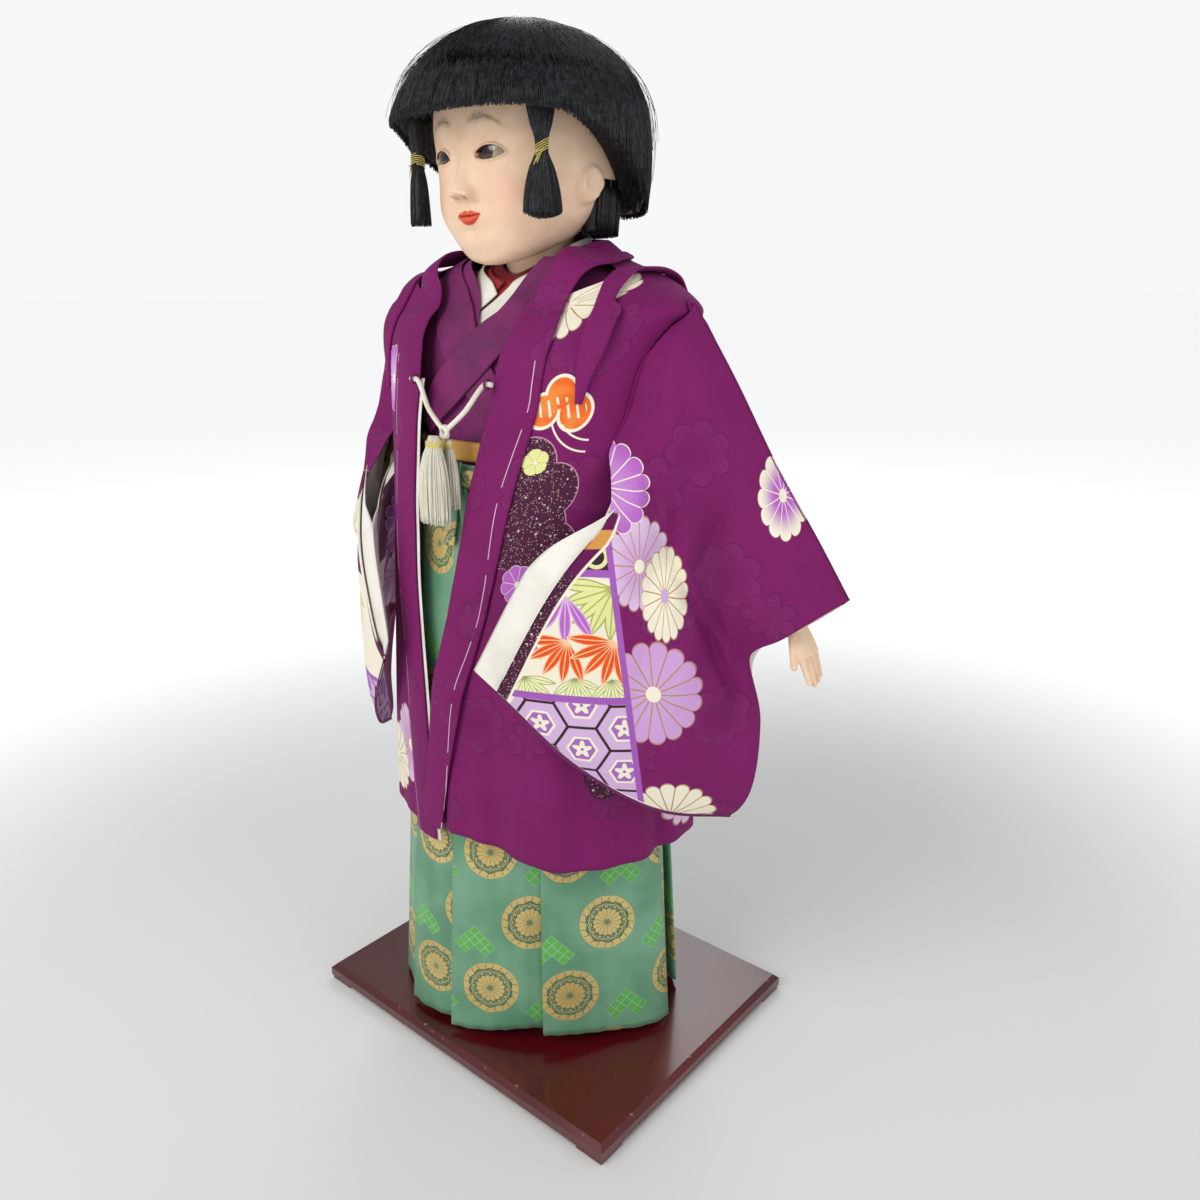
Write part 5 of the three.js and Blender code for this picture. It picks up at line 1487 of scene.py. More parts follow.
def hair_strands(name, count, low, high, steps, lift, seed):
    """Strands that leave the hair's shape between two heights and run to the cut edge."""
    pick = np.random.default_rng(seed)
    angle = pick.uniform(0, 2 * np.pi, count)[:, None]
    start = pick.uniform(low, high, count)[:, None]
    t = np.linspace(0, 1, steps)
    drift = pick.normal(0, 0.035, count)[:, None] * t ** 1.3 + pick.normal(0, 0.01, (count, 1))
    rise = pick.uniform(*lift, count)[:, None] - 2.4 * (1 - ease(0, 0.3, t))
    flare = 1.6 * t ** 4 * pick.uniform(0, 1, count)[:, None]
    lines = hair_point(angle + drift, start * (1 - t), rise + flare)
    lines[..., 2] -= 3.5 * pick.uniform(0, 1, count)[:, None] ** 2 * t ** 6
    tubes(name, lines, 0.28, "head", hair_strand)


hair_strands("hair outer strands", 3000, 0.3, 1.0, 11, (0.0, 1.0), 2)
hair_strands("hair lower strands", 3000, 0.1, 0.85, 8, (-0.6, 0.8), 3)


def edge_bristles(name, count, seed):
    """Short strands through the thickness of the cut edge."""
    pick = np.random.default_rng(seed)
    angle = pick.uniform(0, 2 * np.pi, count)
    share = pick.uniform(0.02, 0.85, count)[:, None]
    t = np.linspace(0, 1, 2)
    top = hair_point(angle, 0.12, -1.5)
    foot_out = hair_point(angle, 0.0, -0.8)
    foot_in = skull(angle, cut_edge(angle) + 4, 2.0)
    foot = mix(foot_out, foot_in, share) - np.stack(
        [np.zeros(count), np.zeros(count), pick.uniform(-2.5, 2.2, count)], -1)
    head_end = mix(top, skull(angle, cut_edge(angle) + 14, 2.0), share)
    lines = mix(head_end[:, None], foot[:, None], t[:, None])
    tubes(name, lines, 0.3, "head", hair_strand)


edge_bristles("hair cut edge", 4200, 4)


def fringe_tufts(name, count, seed):
    """Uneven tips a little past the edge, in small clumps as a blade leaves them."""
    pick = np.random.default_rng(seed)
    clump = pick.uniform(0, 2 * np.pi, count // 9)
    angle = clump[pick.integers(0, len(clump), count)] + pick.normal(0, 0.012, count)
    t = np.linspace(0, 1, 6)
    lines = hair_point(angle[:, None] + pick.normal(0, 0.02, (count, 1)) * t, 0.16 * (1 - t),
                       0.3 + 2.2 * t ** 2 * pick.uniform(0, 1, (count, 1)))
    lines[..., 2] -= 3.8 * pick.uniform(0, 1, (count, 1)) * t ** 3
    tubes(name, lines, 0.26, "head", hair_strand)


fringe_tufts("hair tips", 1500, 5)


def stray_hairs(name, count, seed):
    pick = np.random.default_rng(seed)
    angle = pick.uniform(0, 2 * np.pi, count)[:, None]
    t = np.linspace(0, 1, 18)
    start, end = pick.uniform(0.45, 0.95, (count, 1)), pick.uniform(-0.05, 0.35, (count, 1))
    bow = pick.uniform(1.5, 6.5, (count, 1))
    bow = bow * np.sin(np.pi * t * pick.uniform(0.55, 1, (count, 1)))
    lines = hair_point(angle + pick.normal(0, 0.25, (count, 1)) * t,
                       np.maximum(mix(start, end, t), 0), 0.5 + bow)
    tubes(name, lines, 0.14, "head", hair_strand)


stray_hairs("hair strays", 150, 6)
print("hair pieces", len([n for n in pieces if n.startswith("hair")]))

# %% [markdown]
# ## Nape and side locks
# Behind, a shorter layer of the same hair lies close to the neck. Before each ear a lock is
# drawn down through a tie of gold thread and spreads again below it to a blunt end. A
# strand of a lock keeps its own share of the lock's width and thickness all the way down.

# %% Nape and side locks
# degrees from the front, height of the skull's section that the hair follows, top and foot
NAPE_TURNS, NAPE_SECTION, NAPE_TOP, NAPE_FOOT = (97, 263), 650.0, 652, 617
nape_width, _, nape_depth, nape_y = table(SKULL, NAPE_SECTION)


def nape_radius(angle):
    return plan_radius(nape_width, nape_width, nape_depth, angle, HEAD_SQUARE)


def nape_strands(name, count, seed):
    pick = np.random.default_rng(seed)
    angle = np.radians(pick.uniform(*NAPE_TURNS, count))[:, None]
    t = np.linspace(0, 1, 4)
    z = mix(NAPE_TOP, NAPE_FOOT + 2.5 * pick.uniform(0, 1, (count, 1)) ** 2, t)
    share = pick.uniform(0, 1, (count, 1)) ** 0.7
    reach = nape_radius(angle) + mix(-17, -1.5, share) + mix(3, 0, t)
    lines = polar(reach, angle + pick.normal(0, 0.012, (count, 1)) * t, z)
    lines[..., 1] += nape_y
    tubes(name, lines, 0.42, "head", hair_strand)


nape_strands("nape strands", 2600, 9)
nape_turn = np.radians(np.linspace(*NAPE_TURNS, 120))
nape_z = np.linspace(NAPE_FOOT + 2, NAPE_TOP, 14)[:, None]
nape_grid = polar(nape_radius(nape_turn)[None] - 3.5, nape_turn[None], nape_z)
nape_grid[..., 1] += nape_y
surface("nape bulk", nape_grid, "head", hair_bulk, inside=(0, -5, 635), wall=11,
        uv=laid(nape_turn[None] * 0.07, nape_z * MM), stands_for="nape_hair")

LOCK_X, LOCK_Y, LOCK_TIE, LOCK_TURN = 59, -53, 666, math.radians(52)
LOCK_FOOT, LOCK_TOP, LOCK_FIBRES = 625, 694, 520
# height, half-width across the cheek, half-thickness
LOCK = [(626, 13, 7), (640, 11.5, 6.5), (654, 8, 5.5), (662, 4.2, 4), (667, 3.7, 3.7),
        (672, 4.4, 4.2), (680, 7, 4.8), (694, 10, 5.5)]


def lock_place(side, x, y, z):
    """Turns a lock's own across and thickness so that it lies against the cheek."""
    c, s = math.cos(LOCK_TURN), math.sin(LOCK_TURN) * side
    return np.stack([x * c - y * s + side * LOCK_X, x * s + y * c + LOCK_Y, z], -1)


for name, side in SIDES.items():
    pick = np.random.default_rng(12 + side)
    each, t = (LOCK_FIBRES, 1), np.linspace(0, 1, 18)
    share, phi = np.sqrt(pick.uniform(0, 1, each)), pick.uniform(0, 2 * np.pi, each)
    foot = LOCK_FOOT + 1.6 * pick.uniform(-0.4, 1, each) + 3.5 * (share * np.cos(phi)) ** 2
    z = mix(LOCK_TOP, foot, t)
    w, thick = table(LOCK, z)
    sway = pick.normal(0, 0.05, each) * np.sin(np.pi * t)
    lines = lock_place(side, w * (share * np.cos(phi) + sway), thick * share * np.sin(phi), z)
    tubes(f"lock strands {name}", lines, 0.32, "head", hair_strand, stands_for=f"side_lock_{name}")
    core_z = np.linspace(LOCK_TOP - 1, LOCK_FOOT + 3, 50)
    w, thick = table(LOCK, core_z)
    ring = circle(49)
    core = tipped(lock_place(
        side, 0.9 * w[:, None] * np.cos(ring), 0.9 * thick[:, None] * np.sin(ring),
        np.broadcast_to(core_z[:, None], (50, 49))))
    closed(f"lock core {name}", core, "head", hair_bulk, uv=laid(ring * 0.006, core[..., 2] * MM))
    # thread: five slanting turns with a little room, then a small bow with two short ends
    t = np.linspace(0, 1, 220)
    coil = lock_place(side, 4.5 * np.cos(t * 10 * np.pi), 4.5 * np.sin(t * 10 * np.pi),
                      LOCK_TIE - 3.4 + 6.8 * t + 2.2 * np.cos(t * 10 * np.pi))
    closed(f"tie {name}", swept(coil, 0.36, 8, across=(0.3, 0.2, 1)), "head",
           gold_thread, stands_for=f"lock_tie_{name}")
    toward = unit(np.array([-side * 0.62, -0.79, 0.0]))
    anchor = lock_place(side, 0.0, -4.6, LOCK_TIE - 1.5)
    for k, (reach, drop, spread) in enumerate([(9, -4, 3.5), (8, -6.5, -3), (11, -9, 1.5),
                                               (7, -8, -1)]):
        t = np.linspace(0, 1, 30)
        back_again = np.sin(np.pi * t) if k < 2 else t
        line = (anchor + toward * 0.55 * reach * back_again[:, None]
                + np.array([0, 0, 1.0]) * (drop * back_again * (0.6 + 0.4 * t)
                                           + spread * np.sin(np.pi * t) * 0.5)[:, None]
                + np.array([side * 0.3, -0.2, 0]) * (spread * t)[:, None])
        closed(f"tie end {name} {k + 1}", swept(line, 0.28, 6, across=(0.5, 0.2, 0.4)), "head",
               gold_thread)
print("lock strands", 2 * LOCK_FIBRES)

# %% [markdown]
# ## Folded bands
# Collars, straps and tucks are strips of silk folded on themselves, so each has two layers
# and rounded edges. A band is given by a few stations along it, each a short row of points
# across it. A cubic runs through them, and the strip is then thickened on both sides.

# %% Folded bands
def swirl(stations, along, across):
    """A fine grid through stations: rows of points about the body's axis, in which the
    angle, the radius and the height are each carried by their own cubic."""
    stations = np.asarray(stations, float)
    r = np.hypot(stations[..., 0], stations[..., 1])
    angle = np.unwrap(np.arctan2(stations[..., 0], -stations[..., 1]), axis=0)
    fields = np.stack([r, angle, stations[..., 2]], -1)
    gap = np.linalg.norm(np.diff(stations, axis=0), axis=2).mean(1)
    run = np.r_[0, np.cumsum(np.maximum(gap, 0.5))]
    flat = fields.reshape(len(run), -1)
    fine = table(np.column_stack([run, flat]), np.linspace(0, run[-1], along))
    fine = fine.reshape(stations.shape[1], 3, along)
    key = np.linspace(0, 1, stations.shape[1])
    wide = table(np.column_stack([key, fine.reshape(len(key), -1)]), np.linspace(0, 1, across))
    r, angle, z = wide.reshape(3, along, across)
    return polar(r, angle, z)


def sheet_lengths(grid):
    """Distance across and along a grid, as cloth coordinates in metres."""
    along = np.r_[0, np.cumsum(np.linalg.norm(np.diff(grid, axis=0), axis=2).mean(1))]
    across = np.concatenate([np.zeros((len(grid), 1)),
                             np.cumsum(np.linalg.norm(np.diff(grid, axis=1), axis=2), 1)], 1)
    across -= across[:, -1:] / 2
    return laid(across, along[:, None]) * MM


def normals(grid):
    return unit(np.cross(np.gradient(grid, axis=1), np.gradient(grid, axis=0)))


def folded(name, grid, wall, finish, puff=0.0, **kept):
    """A strip with two layers and rounded edges. Puff swells the middle outward."""
    c = np.linspace(-1, 1, grid.shape[1])
    half = wall / 2 * np.sqrt(np.maximum(1 - np.abs(c) ** 12, 0))
    face = normals(grid)
    if (face * (grid - (0, 0, 400))).sum() < 0:
        face = -face
    outer = grid + face * (half + puff * (1 - c ** 2))[:, None]
    inner = grid - face * half[:, None]
    ring = np.concatenate([outer, inner[:, ::-1], outer[:, :1]], 1)
    uv = sheet_lengths(grid)
    uv = np.concatenate([uv, uv[:, ::-1], uv[:, :1]], 1)
    uv = np.concatenate([uv[:1], uv, uv[-1:]])
    return closed(name, tipped(ring), "doll", finish, uv=uv, **kept)


ACROSS = np.linspace(0, 1, 4)


def chest(surface_point, rows, lift, corners):
    """A station on the chest, from x and height of its inner edge to those of its outer."""
    xa, za, xb, zb = corners
    z = mix(za, zb, ACROSS)
    return surface_point(angle_at(rows, mix(xa, xb, ACROSS), z), z, lift)


def nape(corners):
    """A station round the neck, from angle, height and radius to the same."""
    aa, za, ra, ab, zb, rb = corners
    return polar(mix(ra, rb, ACROSS), np.radians(mix(aa, ab, ACROSS)), mix(za, zb, ACROSS))


def round_neck(rows):
    other = [(-aa, za, ra, -ab, zb, rb) for aa, za, ra, ab, zb, rb in rows[::-1]]
    return [nape(row) for row in [*rows[:-1], *other]]


def denser(rows):
    rows = np.asarray(rows, float)
    return np.insert(rows, range(1, len(rows)), (rows[1:] + rows[:-1]) / 2, axis=0)


def kimono(angle, z, grow=0.0):
    return section(KIMONO, angle, z, grow)


def front_stations(rows, side, lift):
    return [chest(kimono, KIMONO, lift, (side * xa, za, side * xb, zb))
            for xa, za, xb, zb in denser(rows)]


print("bands ready")

# %% [markdown]
# ## Kimono and its collars
# The kimono wraps left over right, and only its chest shows. Its collar is a folded band
# that crosses there. Two inner collars show at the throat, white silk stitched with pale
# green, then red, each a little inside the next.

# %% Kimono and its collars
def neckline(angle):
    turn = np.degrees(np.abs(np.arctan2(np.sin(angle), np.cos(angle))))
    return 603 - 46 * np.maximum(0, 1 - turn / 52) ** 1.15


LEAN = {"left": 31, "right": 27}
SHOULDERS = {name: np.array([side * 112.0, 0.0, 559.0]) for name, side in SIDES.items()}


def near_arm(points, name, room):
    """True for points within the room of an arm, from where it hangs to where it swings."""
    side, lean, pivot = SIDES[name], LEAN[name], SHOULDERS[name]
    close = np.full(points.shape[:-1], np.inf)
    for lift in (0, 9, 18):
        tilt = math.radians(lean + lift)
        line = np.array([side * math.sin(tilt), 0.0, -math.cos(tilt)])
        t = np.clip((points - pivot) @ line, 0, 44)[..., None]
        close = np.minimum(close, np.linalg.norm(points - pivot - t * line, axis=-1))
    return close < room


turn = circle(241)[None]
share = (1 - (1 - np.linspace(0, 1, 70)) ** 1.7)[:, None]
body_grid = kimono(turn, mix(345, neckline(turn), share), -0.5)
free = ~(near_arm(body_grid, "left", 17.5) | near_arm(body_grid, "right", 17.5))
surface("kimono body", body_grid, "doll", purple_silk, wrap=True, keep=free, wall=0.9)


def kimono_collar():
    front = [(-50, 502, -38, 484), (-30, 524, -10, 504), (-8, 549, 14, 524),
             (10, 566, 34, 545), (23, 578, 50, 563)]
    neck = [(62, 596, 42, 70, 588, 66), (90, 608, 39, 90, 599, 60),
            (135, 614, 44, 135, 599, 56), (180, 616, 44.5, 180, 597, 45)]
    stations = (front_stations(front, 1, 3.3) + round_neck(neck)
                + front_stations(front, -1, 1.6)[::-1])
    grid = swirl(stations, 260, 26)
    along = np.linspace(0, 1, 260)[:, None]
    over = (1 - ease(0.3, 0.5, along)) * (1 - ease(560, 590, grid[..., 2]))
    return settle(grid, KIMONO, mix(0.9, 2.7, over))


folded("kimono collar", kimono_collar(), 1.3, purple_silk, puff=0.5)


def inner_collar(over, under, neck, lift):
    stations = (front_stations(over, 1, lift) + round_neck(neck)
                + front_stations(under, -1, lift)[::-1])
    return swirl(stations, 220, 20)


white_grid = inner_collar(
    [(-16, 565, -6, 543), (0, 578, 10, 556), (13, 588, 24, 568)],
    [(3, 579, 18, 566), (13, 588, 24, 568)],
    [(60, 599, 37, 62, 589, 45), (90, 611, 34, 90, 600, 41), (135, 618, 40, 135, 603, 41),
     (180, 620, 40.5, 180, 603, 40.5)], -4.9)
red_grid = inner_collar(
    [(-10, 577, -2, 555), (2, 586, 12, 566), (14, 592, 24, 576)],
    [(2, 588.5, 15.5, 576.5), (14, 592, 24, 576)],
    [(60, 600, 31, 62, 590, 36), (90, 611, 30.3, 90, 600, 35), (135, 618, 35.4, 135, 603, 36.4),
     (180, 620, 36.2, 180, 603, 36.2)], -7.6)
folded("white collar", white_grid, 1.1, white_silk, puff=0.4)
folded("red collar", red_grid - np.array([0, 0, 1.4]), 1.1, red_silk, puff=0.4)
turn = circle(201)
brocade_z = np.r_[466.4, np.linspace(466.8, 480.4, 20), 481]
bulge = 2.6 * np.sqrt(np.maximum(1 - np.linspace(-1, 1, 22) ** 8, 0))
surface("obi", kimono(turn[None], brocade_z[:, None], 1.0 + bulge[:, None]), "doll", gold_brocade,
        wrap=True, wall=1.0, uv=laid(
            turn[None] * 0.072, brocade_z[:, None] * MM))
print("collar grids", white_grid.shape, red_grid.shape)

funnel_turn = circle(145)[None]
funnel = np.linspace(0, 1, 16)[:, None]
dip = bell(np.degrees((funnel_turn + np.pi) % (2 * np.pi) - np.pi), 0, 34)
near_neck = polar(27.2, funnel_turn, 601 - 9 * dip) + np.array([0, 6, 0])
near_collar = section(KIMONO, funnel_turn, 590 - 30 * dip, -8.5)
surface("under-robe neck", mix(near_neck, near_collar, funnel[..., None]), "doll", red_silk,
        wrap=True, inside=(0, 0, 500),
        uv=laid(funnel_turn * 0.04, funnel * 0.03), wall=0.6)

# %% [markdown]
# ## Haori body
# The haori is an open coat. Two panels run from the lapels round to the centre back and up
# over the shoulders, where each is taken up in a tuck. A collar band frames the front from
# hem to hem. The cloth hangs from the shoulders, so its folds open toward the hem.

# %% Haori body
# height, x of the band's inner edge, x of its outer edge
LEFT_BAND = [(186, -31, -10), (218, -27, -4), (306, -16, 16), (360, -2, 33), (390, 5, 41),
             (446, 17, 54), (509, 35, 71), (545, 40, 74), (570, 40, 70)]
RIGHT_BAND = [(172, 20, 50), (216, 22, 53), (301, 29, 62), (381, 38, 73), (437, 40, 76),
              (492, 38, 74), (523, 35, 71), (545, 38, 72), (570, 40, 70)]
HAORI_TOP, BACK_HEM = 602, 173


def lapel(rows, side):
    rows = denser([row for row in rows if row[0] < 560])
    lap = 2.4 if side > 0 else 0.0
    return [chest(haori, HAORI, 1 + lap * (1 - ease(290, 360, z)),
                  (side * inner, z, side * outer, z)) for z, inner, outer in rows]


NECK = [(50, 584, 52, 62, 585, 84), (72, 601, 52, 80, 594, 86), (92, 612, 51, 94, 597, 78),
        (135, 615, 52, 135, 599, 66), (180, 617, 52, 180, 594, 56)]
collar_grid = swirl(lapel(LEFT_BAND, 1) + round_neck(NECK) + lapel(RIGHT_BAND, -1)[::-1], 460, 28)
collar_grid = settle(collar_grid, HAORI, 1 + 1.5 * ease(530, 560, collar_grid[..., 2]))
folded("haori collar", collar_grid, 1.6, band_crepe, puff=0.9)


edge_rows = [chest(haori, HAORI, -0.3, (-(x_in - 2.8), z, -(x_in + 1.5), z))
             for z, x_in, _ in denser([row for row in RIGHT_BAND if row[0] < 530])]
folded("lining edge", swirl(edge_rows, 160, 8), 0.7, white_silk)


def haori_panel(side, band, front_hem):
    """From the lapel round to the centre back, with its folds growing toward the hem."""
    u, v = np.meshgrid(np.linspace(0, 1, 200), np.linspace(0, 1, 150))
    up = 1 - (1 - v) ** 1.7
    guess = mix(front_hem, HAORI_TOP, up[:, 0])
    inner, outer = table(band, guess)
    edge = np.degrees(angle_at(HAORI, (inner + outer) / 2, np.minimum(guess, 570)))
    edge = mix(edge, 84, ease(566, HAORI_TOP, guess))[:, None]
    turn = mix(edge, 179.6, u)
    z = mix(mix(front_hem, BACK_HEM, ease(0, 80, turn)), HAORI_TOP, up)
    sway = 1.1 * np.sin(np.radians(turn) * 23 + 2 * side) * (1 - ease(150, 420, z))
    sway -= 3.2 * bell(turn, 88, 3.2) * (1 - ease(380, 520, z))
    sway += 1.6 * bell(turn, 80, 4.5) * (1 - ease(380, 520, z))
    return haori(side * np.radians(turn), z, sway)


MEASURED_ROW = 47
for name, band, hem in (("left", LEFT_BAND, 186), ("right", RIGHT_BAND, 172)):
    side = SIDES[name]
    grid = haori_panel(side, band, hem)
    uv = laid(run_along(grid[MEASURED_ROW])[None] * side, grid[..., 2]) * MM
    surface(f"haori panel {name}", grid, "doll", panel_silk[name], uv=uv, wall=1.0,
            keep=~near_arm(grid, name, 17.3))


def shoulder_height(x, y):
    """The height of the shoulder's slope over a point in plan."""
    angle, reach = np.arctan2(x, -y), np.hypot(x, y)
    low, high = np.full(np.shape(x), 569.0), np.full(np.shape(x), 604.0)
    for _ in range(30):
        middle = (low + high) / 2
        outside = plan_radius(*table(HAORI, middle), angle) > reach
        low, high = np.where(outside, middle, low), np.where(outside, high, middle)
    return (low + high) / 2


def tuck_grid(side):
    """A stitched fold over the shoulder whose free edge curls outward."""
    rows = []
    for behind in (False, True):
        for z in ((512, 530, 546, 559, 571) if not behind else (571, 559, 546, 530, 512)):
            x = 92 + mix(3, 15, ease(505, 560, z)) * ACROSS
            rise = 0.6 + mix(0.5, 5.5, ease(505, 560, z)) * ACROSS ** 2
            angle = angle_at(HAORI, x, z, behind)
            p = haori(angle, z, rise)
            rows.append(np.stack([side * p[:, 0], p[:, 1], p[:, 2]], -1))
        if not behind:
            for y in (-40, -32, -17, 0, 17, 32, 40):
                rows.append(np.stack([side * x, np.full(4, float(y)),
                                      shoulder_height(x, np.full(4, float(y))) + rise], -1))
    return settle(swirl(rows, 200, 22), HAORI, 1.0)


for name, side in SIDES.items():
    folded(f"shoulder tuck {name}", tuck_grid(side), 1.8, purple_crepe, puff=1.2)
print("collar band", collar_grid.shape)

# %% [markdown]
# ## Sleeves
# A sleeve is a wide flat bag of two layers, joined along its top fold and its bottom. Its
# inner edge hangs free of the body and its outer edge is open at the top for the hand. A
# middle surface is blended from the four edge curves, and the layers stand off it by a gap
# that is widest where the arm lies. Inside the purple sleeve hangs the kimono's white one.

# %% Sleeves
SLEEVE_EDGES = {
    "left": {"top": [(139, 2, 573), (171, 2, 527), (206, 1, 473), (236, 0, 433), (260, 0, 398)],
             "furi": [(139, 2, 573), (139, 0, 545), (137, -6, 505), (131, -44, 462),
                      (101, -88, 405), (60, -112, 318)],
             "hem": [(60, -112, 318), (110, -86, 268), (152, -48, 234), (184, -8, 224)],
             "cuff": [(260, 0, 398), (228, -2, 372), (196, -4, 348), (201, -2, 300),
                      (197, -4, 250), (184, -8, 224)]},
    "right": {"top": [(-139, 2, 573), (-166, 2, 525), (-194, 1, 470), (-216, 0, 430),
                      (-236, 0, 392)],
              "furi": [(-139, 2, 573), (-139, 0, 545), (-137, -6, 505), (-131, -44, 462),
                       (-101, -88, 405), (-60, -112, 316)],
              "hem": [(-60, -112, 316), (-104, -92, 262), (-140, -62, 222), (-168, -30, 206)],
              "cuff": [(-236, 0, 392), (-206, -2, 366), (-176, -4, 344), (-186, -6, 300),
                       (-184, -18, 244), (-168, -30, 206)]}}
# share from top fold to bottom, half-gap at the body, at the elbow and at the cuff
SLEEVE_GAP = [(0, 0, 0, 0), (0.05, 17, 13, 10), (0.12, 27, 19, 17), (0.22, 29, 20, 19),
              (0.34, 21, 17, 12), (0.45, 12, 13, 3.8), (0.6, 8, 9, 3.4), (0.8, 6, 6, 3.4),
              (0.94, 4.4, 4.4, 3.4), (1, 0, 0, 0)]


def middle_surface(edges):
    """Blends four edge curves: the sum of the two rulings less the bilinear corners."""
    curve = {key: by_length(smooth_line(line)) for key, line in edges.items()}

    def point(u, w):
        inside = np.maximum(u, 0)
        a, b, c, d = inside[..., None], w[..., None], 1 - inside[..., None], 1 - w[..., None]
        top, hem, furi, cuff = (curve[key](x) for key, x in
                                (("top", inside), ("hem", inside), ("furi", w), ("cuff", w)))
        corners = [curve[key](np.array(k)) for key in ("top", "hem") for k in (0.0, 1.0)]
        p = (top * d + hem * b + furi * c + cuff * a - corners[0] * c * d - corners[1] * a * d
             - corners[2] * c * b - corners[3] * a * b)
        lead = sum(unit(curve[key](0 * w) - curve[key](0 * w + 0.03)) * share
                   for key, share in (("top", d), ("hem", b)))
        return p - unit(lead) * 250 * np.minimum(u, 0)[..., None]

    return point


def sleeve_gap(u, w):
    body, elbow, cuff = table(SLEEVE_GAP, w)
    u = np.clip(u, 0, 1)
    return np.where(u < 0.4, mix(body, elbow, ease(0, 0.4, u)), mix(elbow, cuff, ease(0.4, 1, u)))


SLEEVE_ROWS, SLEEVE_STEPS = 116, 106


def sleeve_grids(name, depth, first, last):
    """Front and back layer of a sleeve at a depth inside its outer face. The columns run
    down the front layer and up the back one."""
    point = middle_surface(SLEEVE_EDGES[name])
    u, w = np.meshgrid(np.linspace(first, last, SLEEVE_ROWS), 0.5 - 0.5 * np.cos(
        np.linspace(0, np.pi, SLEEVE_STEPS)), indexing="ij")
    if first < 0:
        u = np.where(u < 0, u * ease(0.45, 0.75, w), u)
    down = mix(depth / 250, 1 - depth / 250, w)
    near = point(u, down)
    across = unit(np.cross(np.gradient(near, axis=0), np.gradient(near, axis=1)))
    across *= -np.sign((across[..., 1:2]).mean())
    straight = 0.85 * (1 - ease(0.3, 0.56, w))[..., None]
    across = unit(mix(across, np.array([0.0, -1.0, 0.0]), straight))
    gap = np.maximum(sleeve_gap(u, w) - depth, 0.25) * np.sqrt(
        np.sin(np.pi * np.clip(w * 9, 0, 0.5)) * np.sin(np.pi * np.clip((1 - w) * 14, 0, 0.5)))
    if first < 0:
        gap *= ease(first, first + 0.03, u) * mix(0.72, 1, ease(0.28, 0.45, w))
    out = sleeve_folds(name, u, w)
    front = near + across * (gap + out)[..., None]
    rear = near - across * (gap - out * ease(0.4, 0.52, w))[..., None]
    return front, rear, w


# line in shares along and down the sleeve, rise, half-width in mm
SLEEVE_CREASES = [([(0.0, 0.40), (0.15, 0.405), (0.39, 0.424), (0.67, 0.441),
                    (0.86, 0.56)], -6, 7),
                  ([(0.47, 0.22), (0.52, 0.34), (0.75, 0.405)], -4.5, 6),
                  ([(0.88, 0.15), (0.985, 0.05)], -1.6, 2.6),
                  ([(0.12, 0.32), (0.38, 0.27), (0.44, 0.33)], 3.5, 11),
                  ([(0.16, 0.50), (0.40, 0.54), (0.62, 0.60)], 3.0, 12),
                  ([(0.30, 0.50), (0.50, 0.75), (0.62, 0.95)], -3.0, 10),
                  ([(0.10, 0.10), (0.22, 0.22), (0.30, 0.38)], -3.2, 6)]


def from_line(u, w, line):
    """Distance in mm from a broken line drawn on the sleeve."""
    size = np.array([130.0, 250.0])
    here, line = np.stack([u, w], -1) * size, np.array(line) * size
    nearest = np.full(u.shape, np.inf)
    for a, b in zip(line[:-1], line[1:]):
        share = np.clip((here - a) @ (b - a) / ((b - a) @ (b - a)), 0, 1)[..., None]
        nearest = np.minimum(nearest, np.linalg.norm(here - a - share * (b - a), axis=-1))
    return nearest


def sleeve_folds(name, u, w):
    """Creases that run from the armpit and the elbow to the cuff, and soft hanging folds."""
    fan = np.sin(u * 15 - 2.5 * w + (0.6 if name == "left" else 2.0))
    out = (1.5 * fan + 0.8 * np.sin(u * 31 + 4 * w)) * np.sin(np.pi * w) ** 1.5
    for line, rise, wide in SLEEVE_CREASES:
        out += rise * bell(from_line(u, w, line), 0, wide)
    return out * ease(0.0, 0.12, u) * (1 - ease(0.93, 1.0, u)) * np.sqrt(np.sin(np.pi * w))


def cover(ring, down, side):
    """Rows that carry the sleeve's head over the armhole: each is the inner edge moved in
    toward the body by its own share of the reach."""
    inward = table(ARMHOLE, down[0])[0]
    share = np.linspace(1, 0, COVER_ROWS)[:-1, None, None]
    return ring[None, 0] - np.array([side, 0.0, 0.0]) * inward[None, :, None] * share


def swung(points, name, degrees):
    """The points turned outward with the arm about its shoulder."""
    turn = math.radians(degrees) * SIDES[name]
    x, y, z = np.moveaxis(points - SHOULDERS[name], -1, 0)
    return np.stack([x * math.cos(turn) - z * math.sin(turn), y,
                     x * math.sin(turn) + z * math.cos(turn)], -1) + SHOULDERS[name]


def clear_of_haori(points, down, name):
    """Settles points on the haori as the arm hangs and again as it is swung out. The top
    keeps to the shoulder as it hangs, so that no gap shows there."""
    rest = settle(points, HAORI, COVER_LIFT)
    clear = rest
    for degrees in (9, 18):
        clear = swung(settle(swung(clear, name, degrees), HAORI, COVER_LIFT), name, -degrees)
    return mix(rest, clear, ease(0.07, 0.16, down)[..., None])


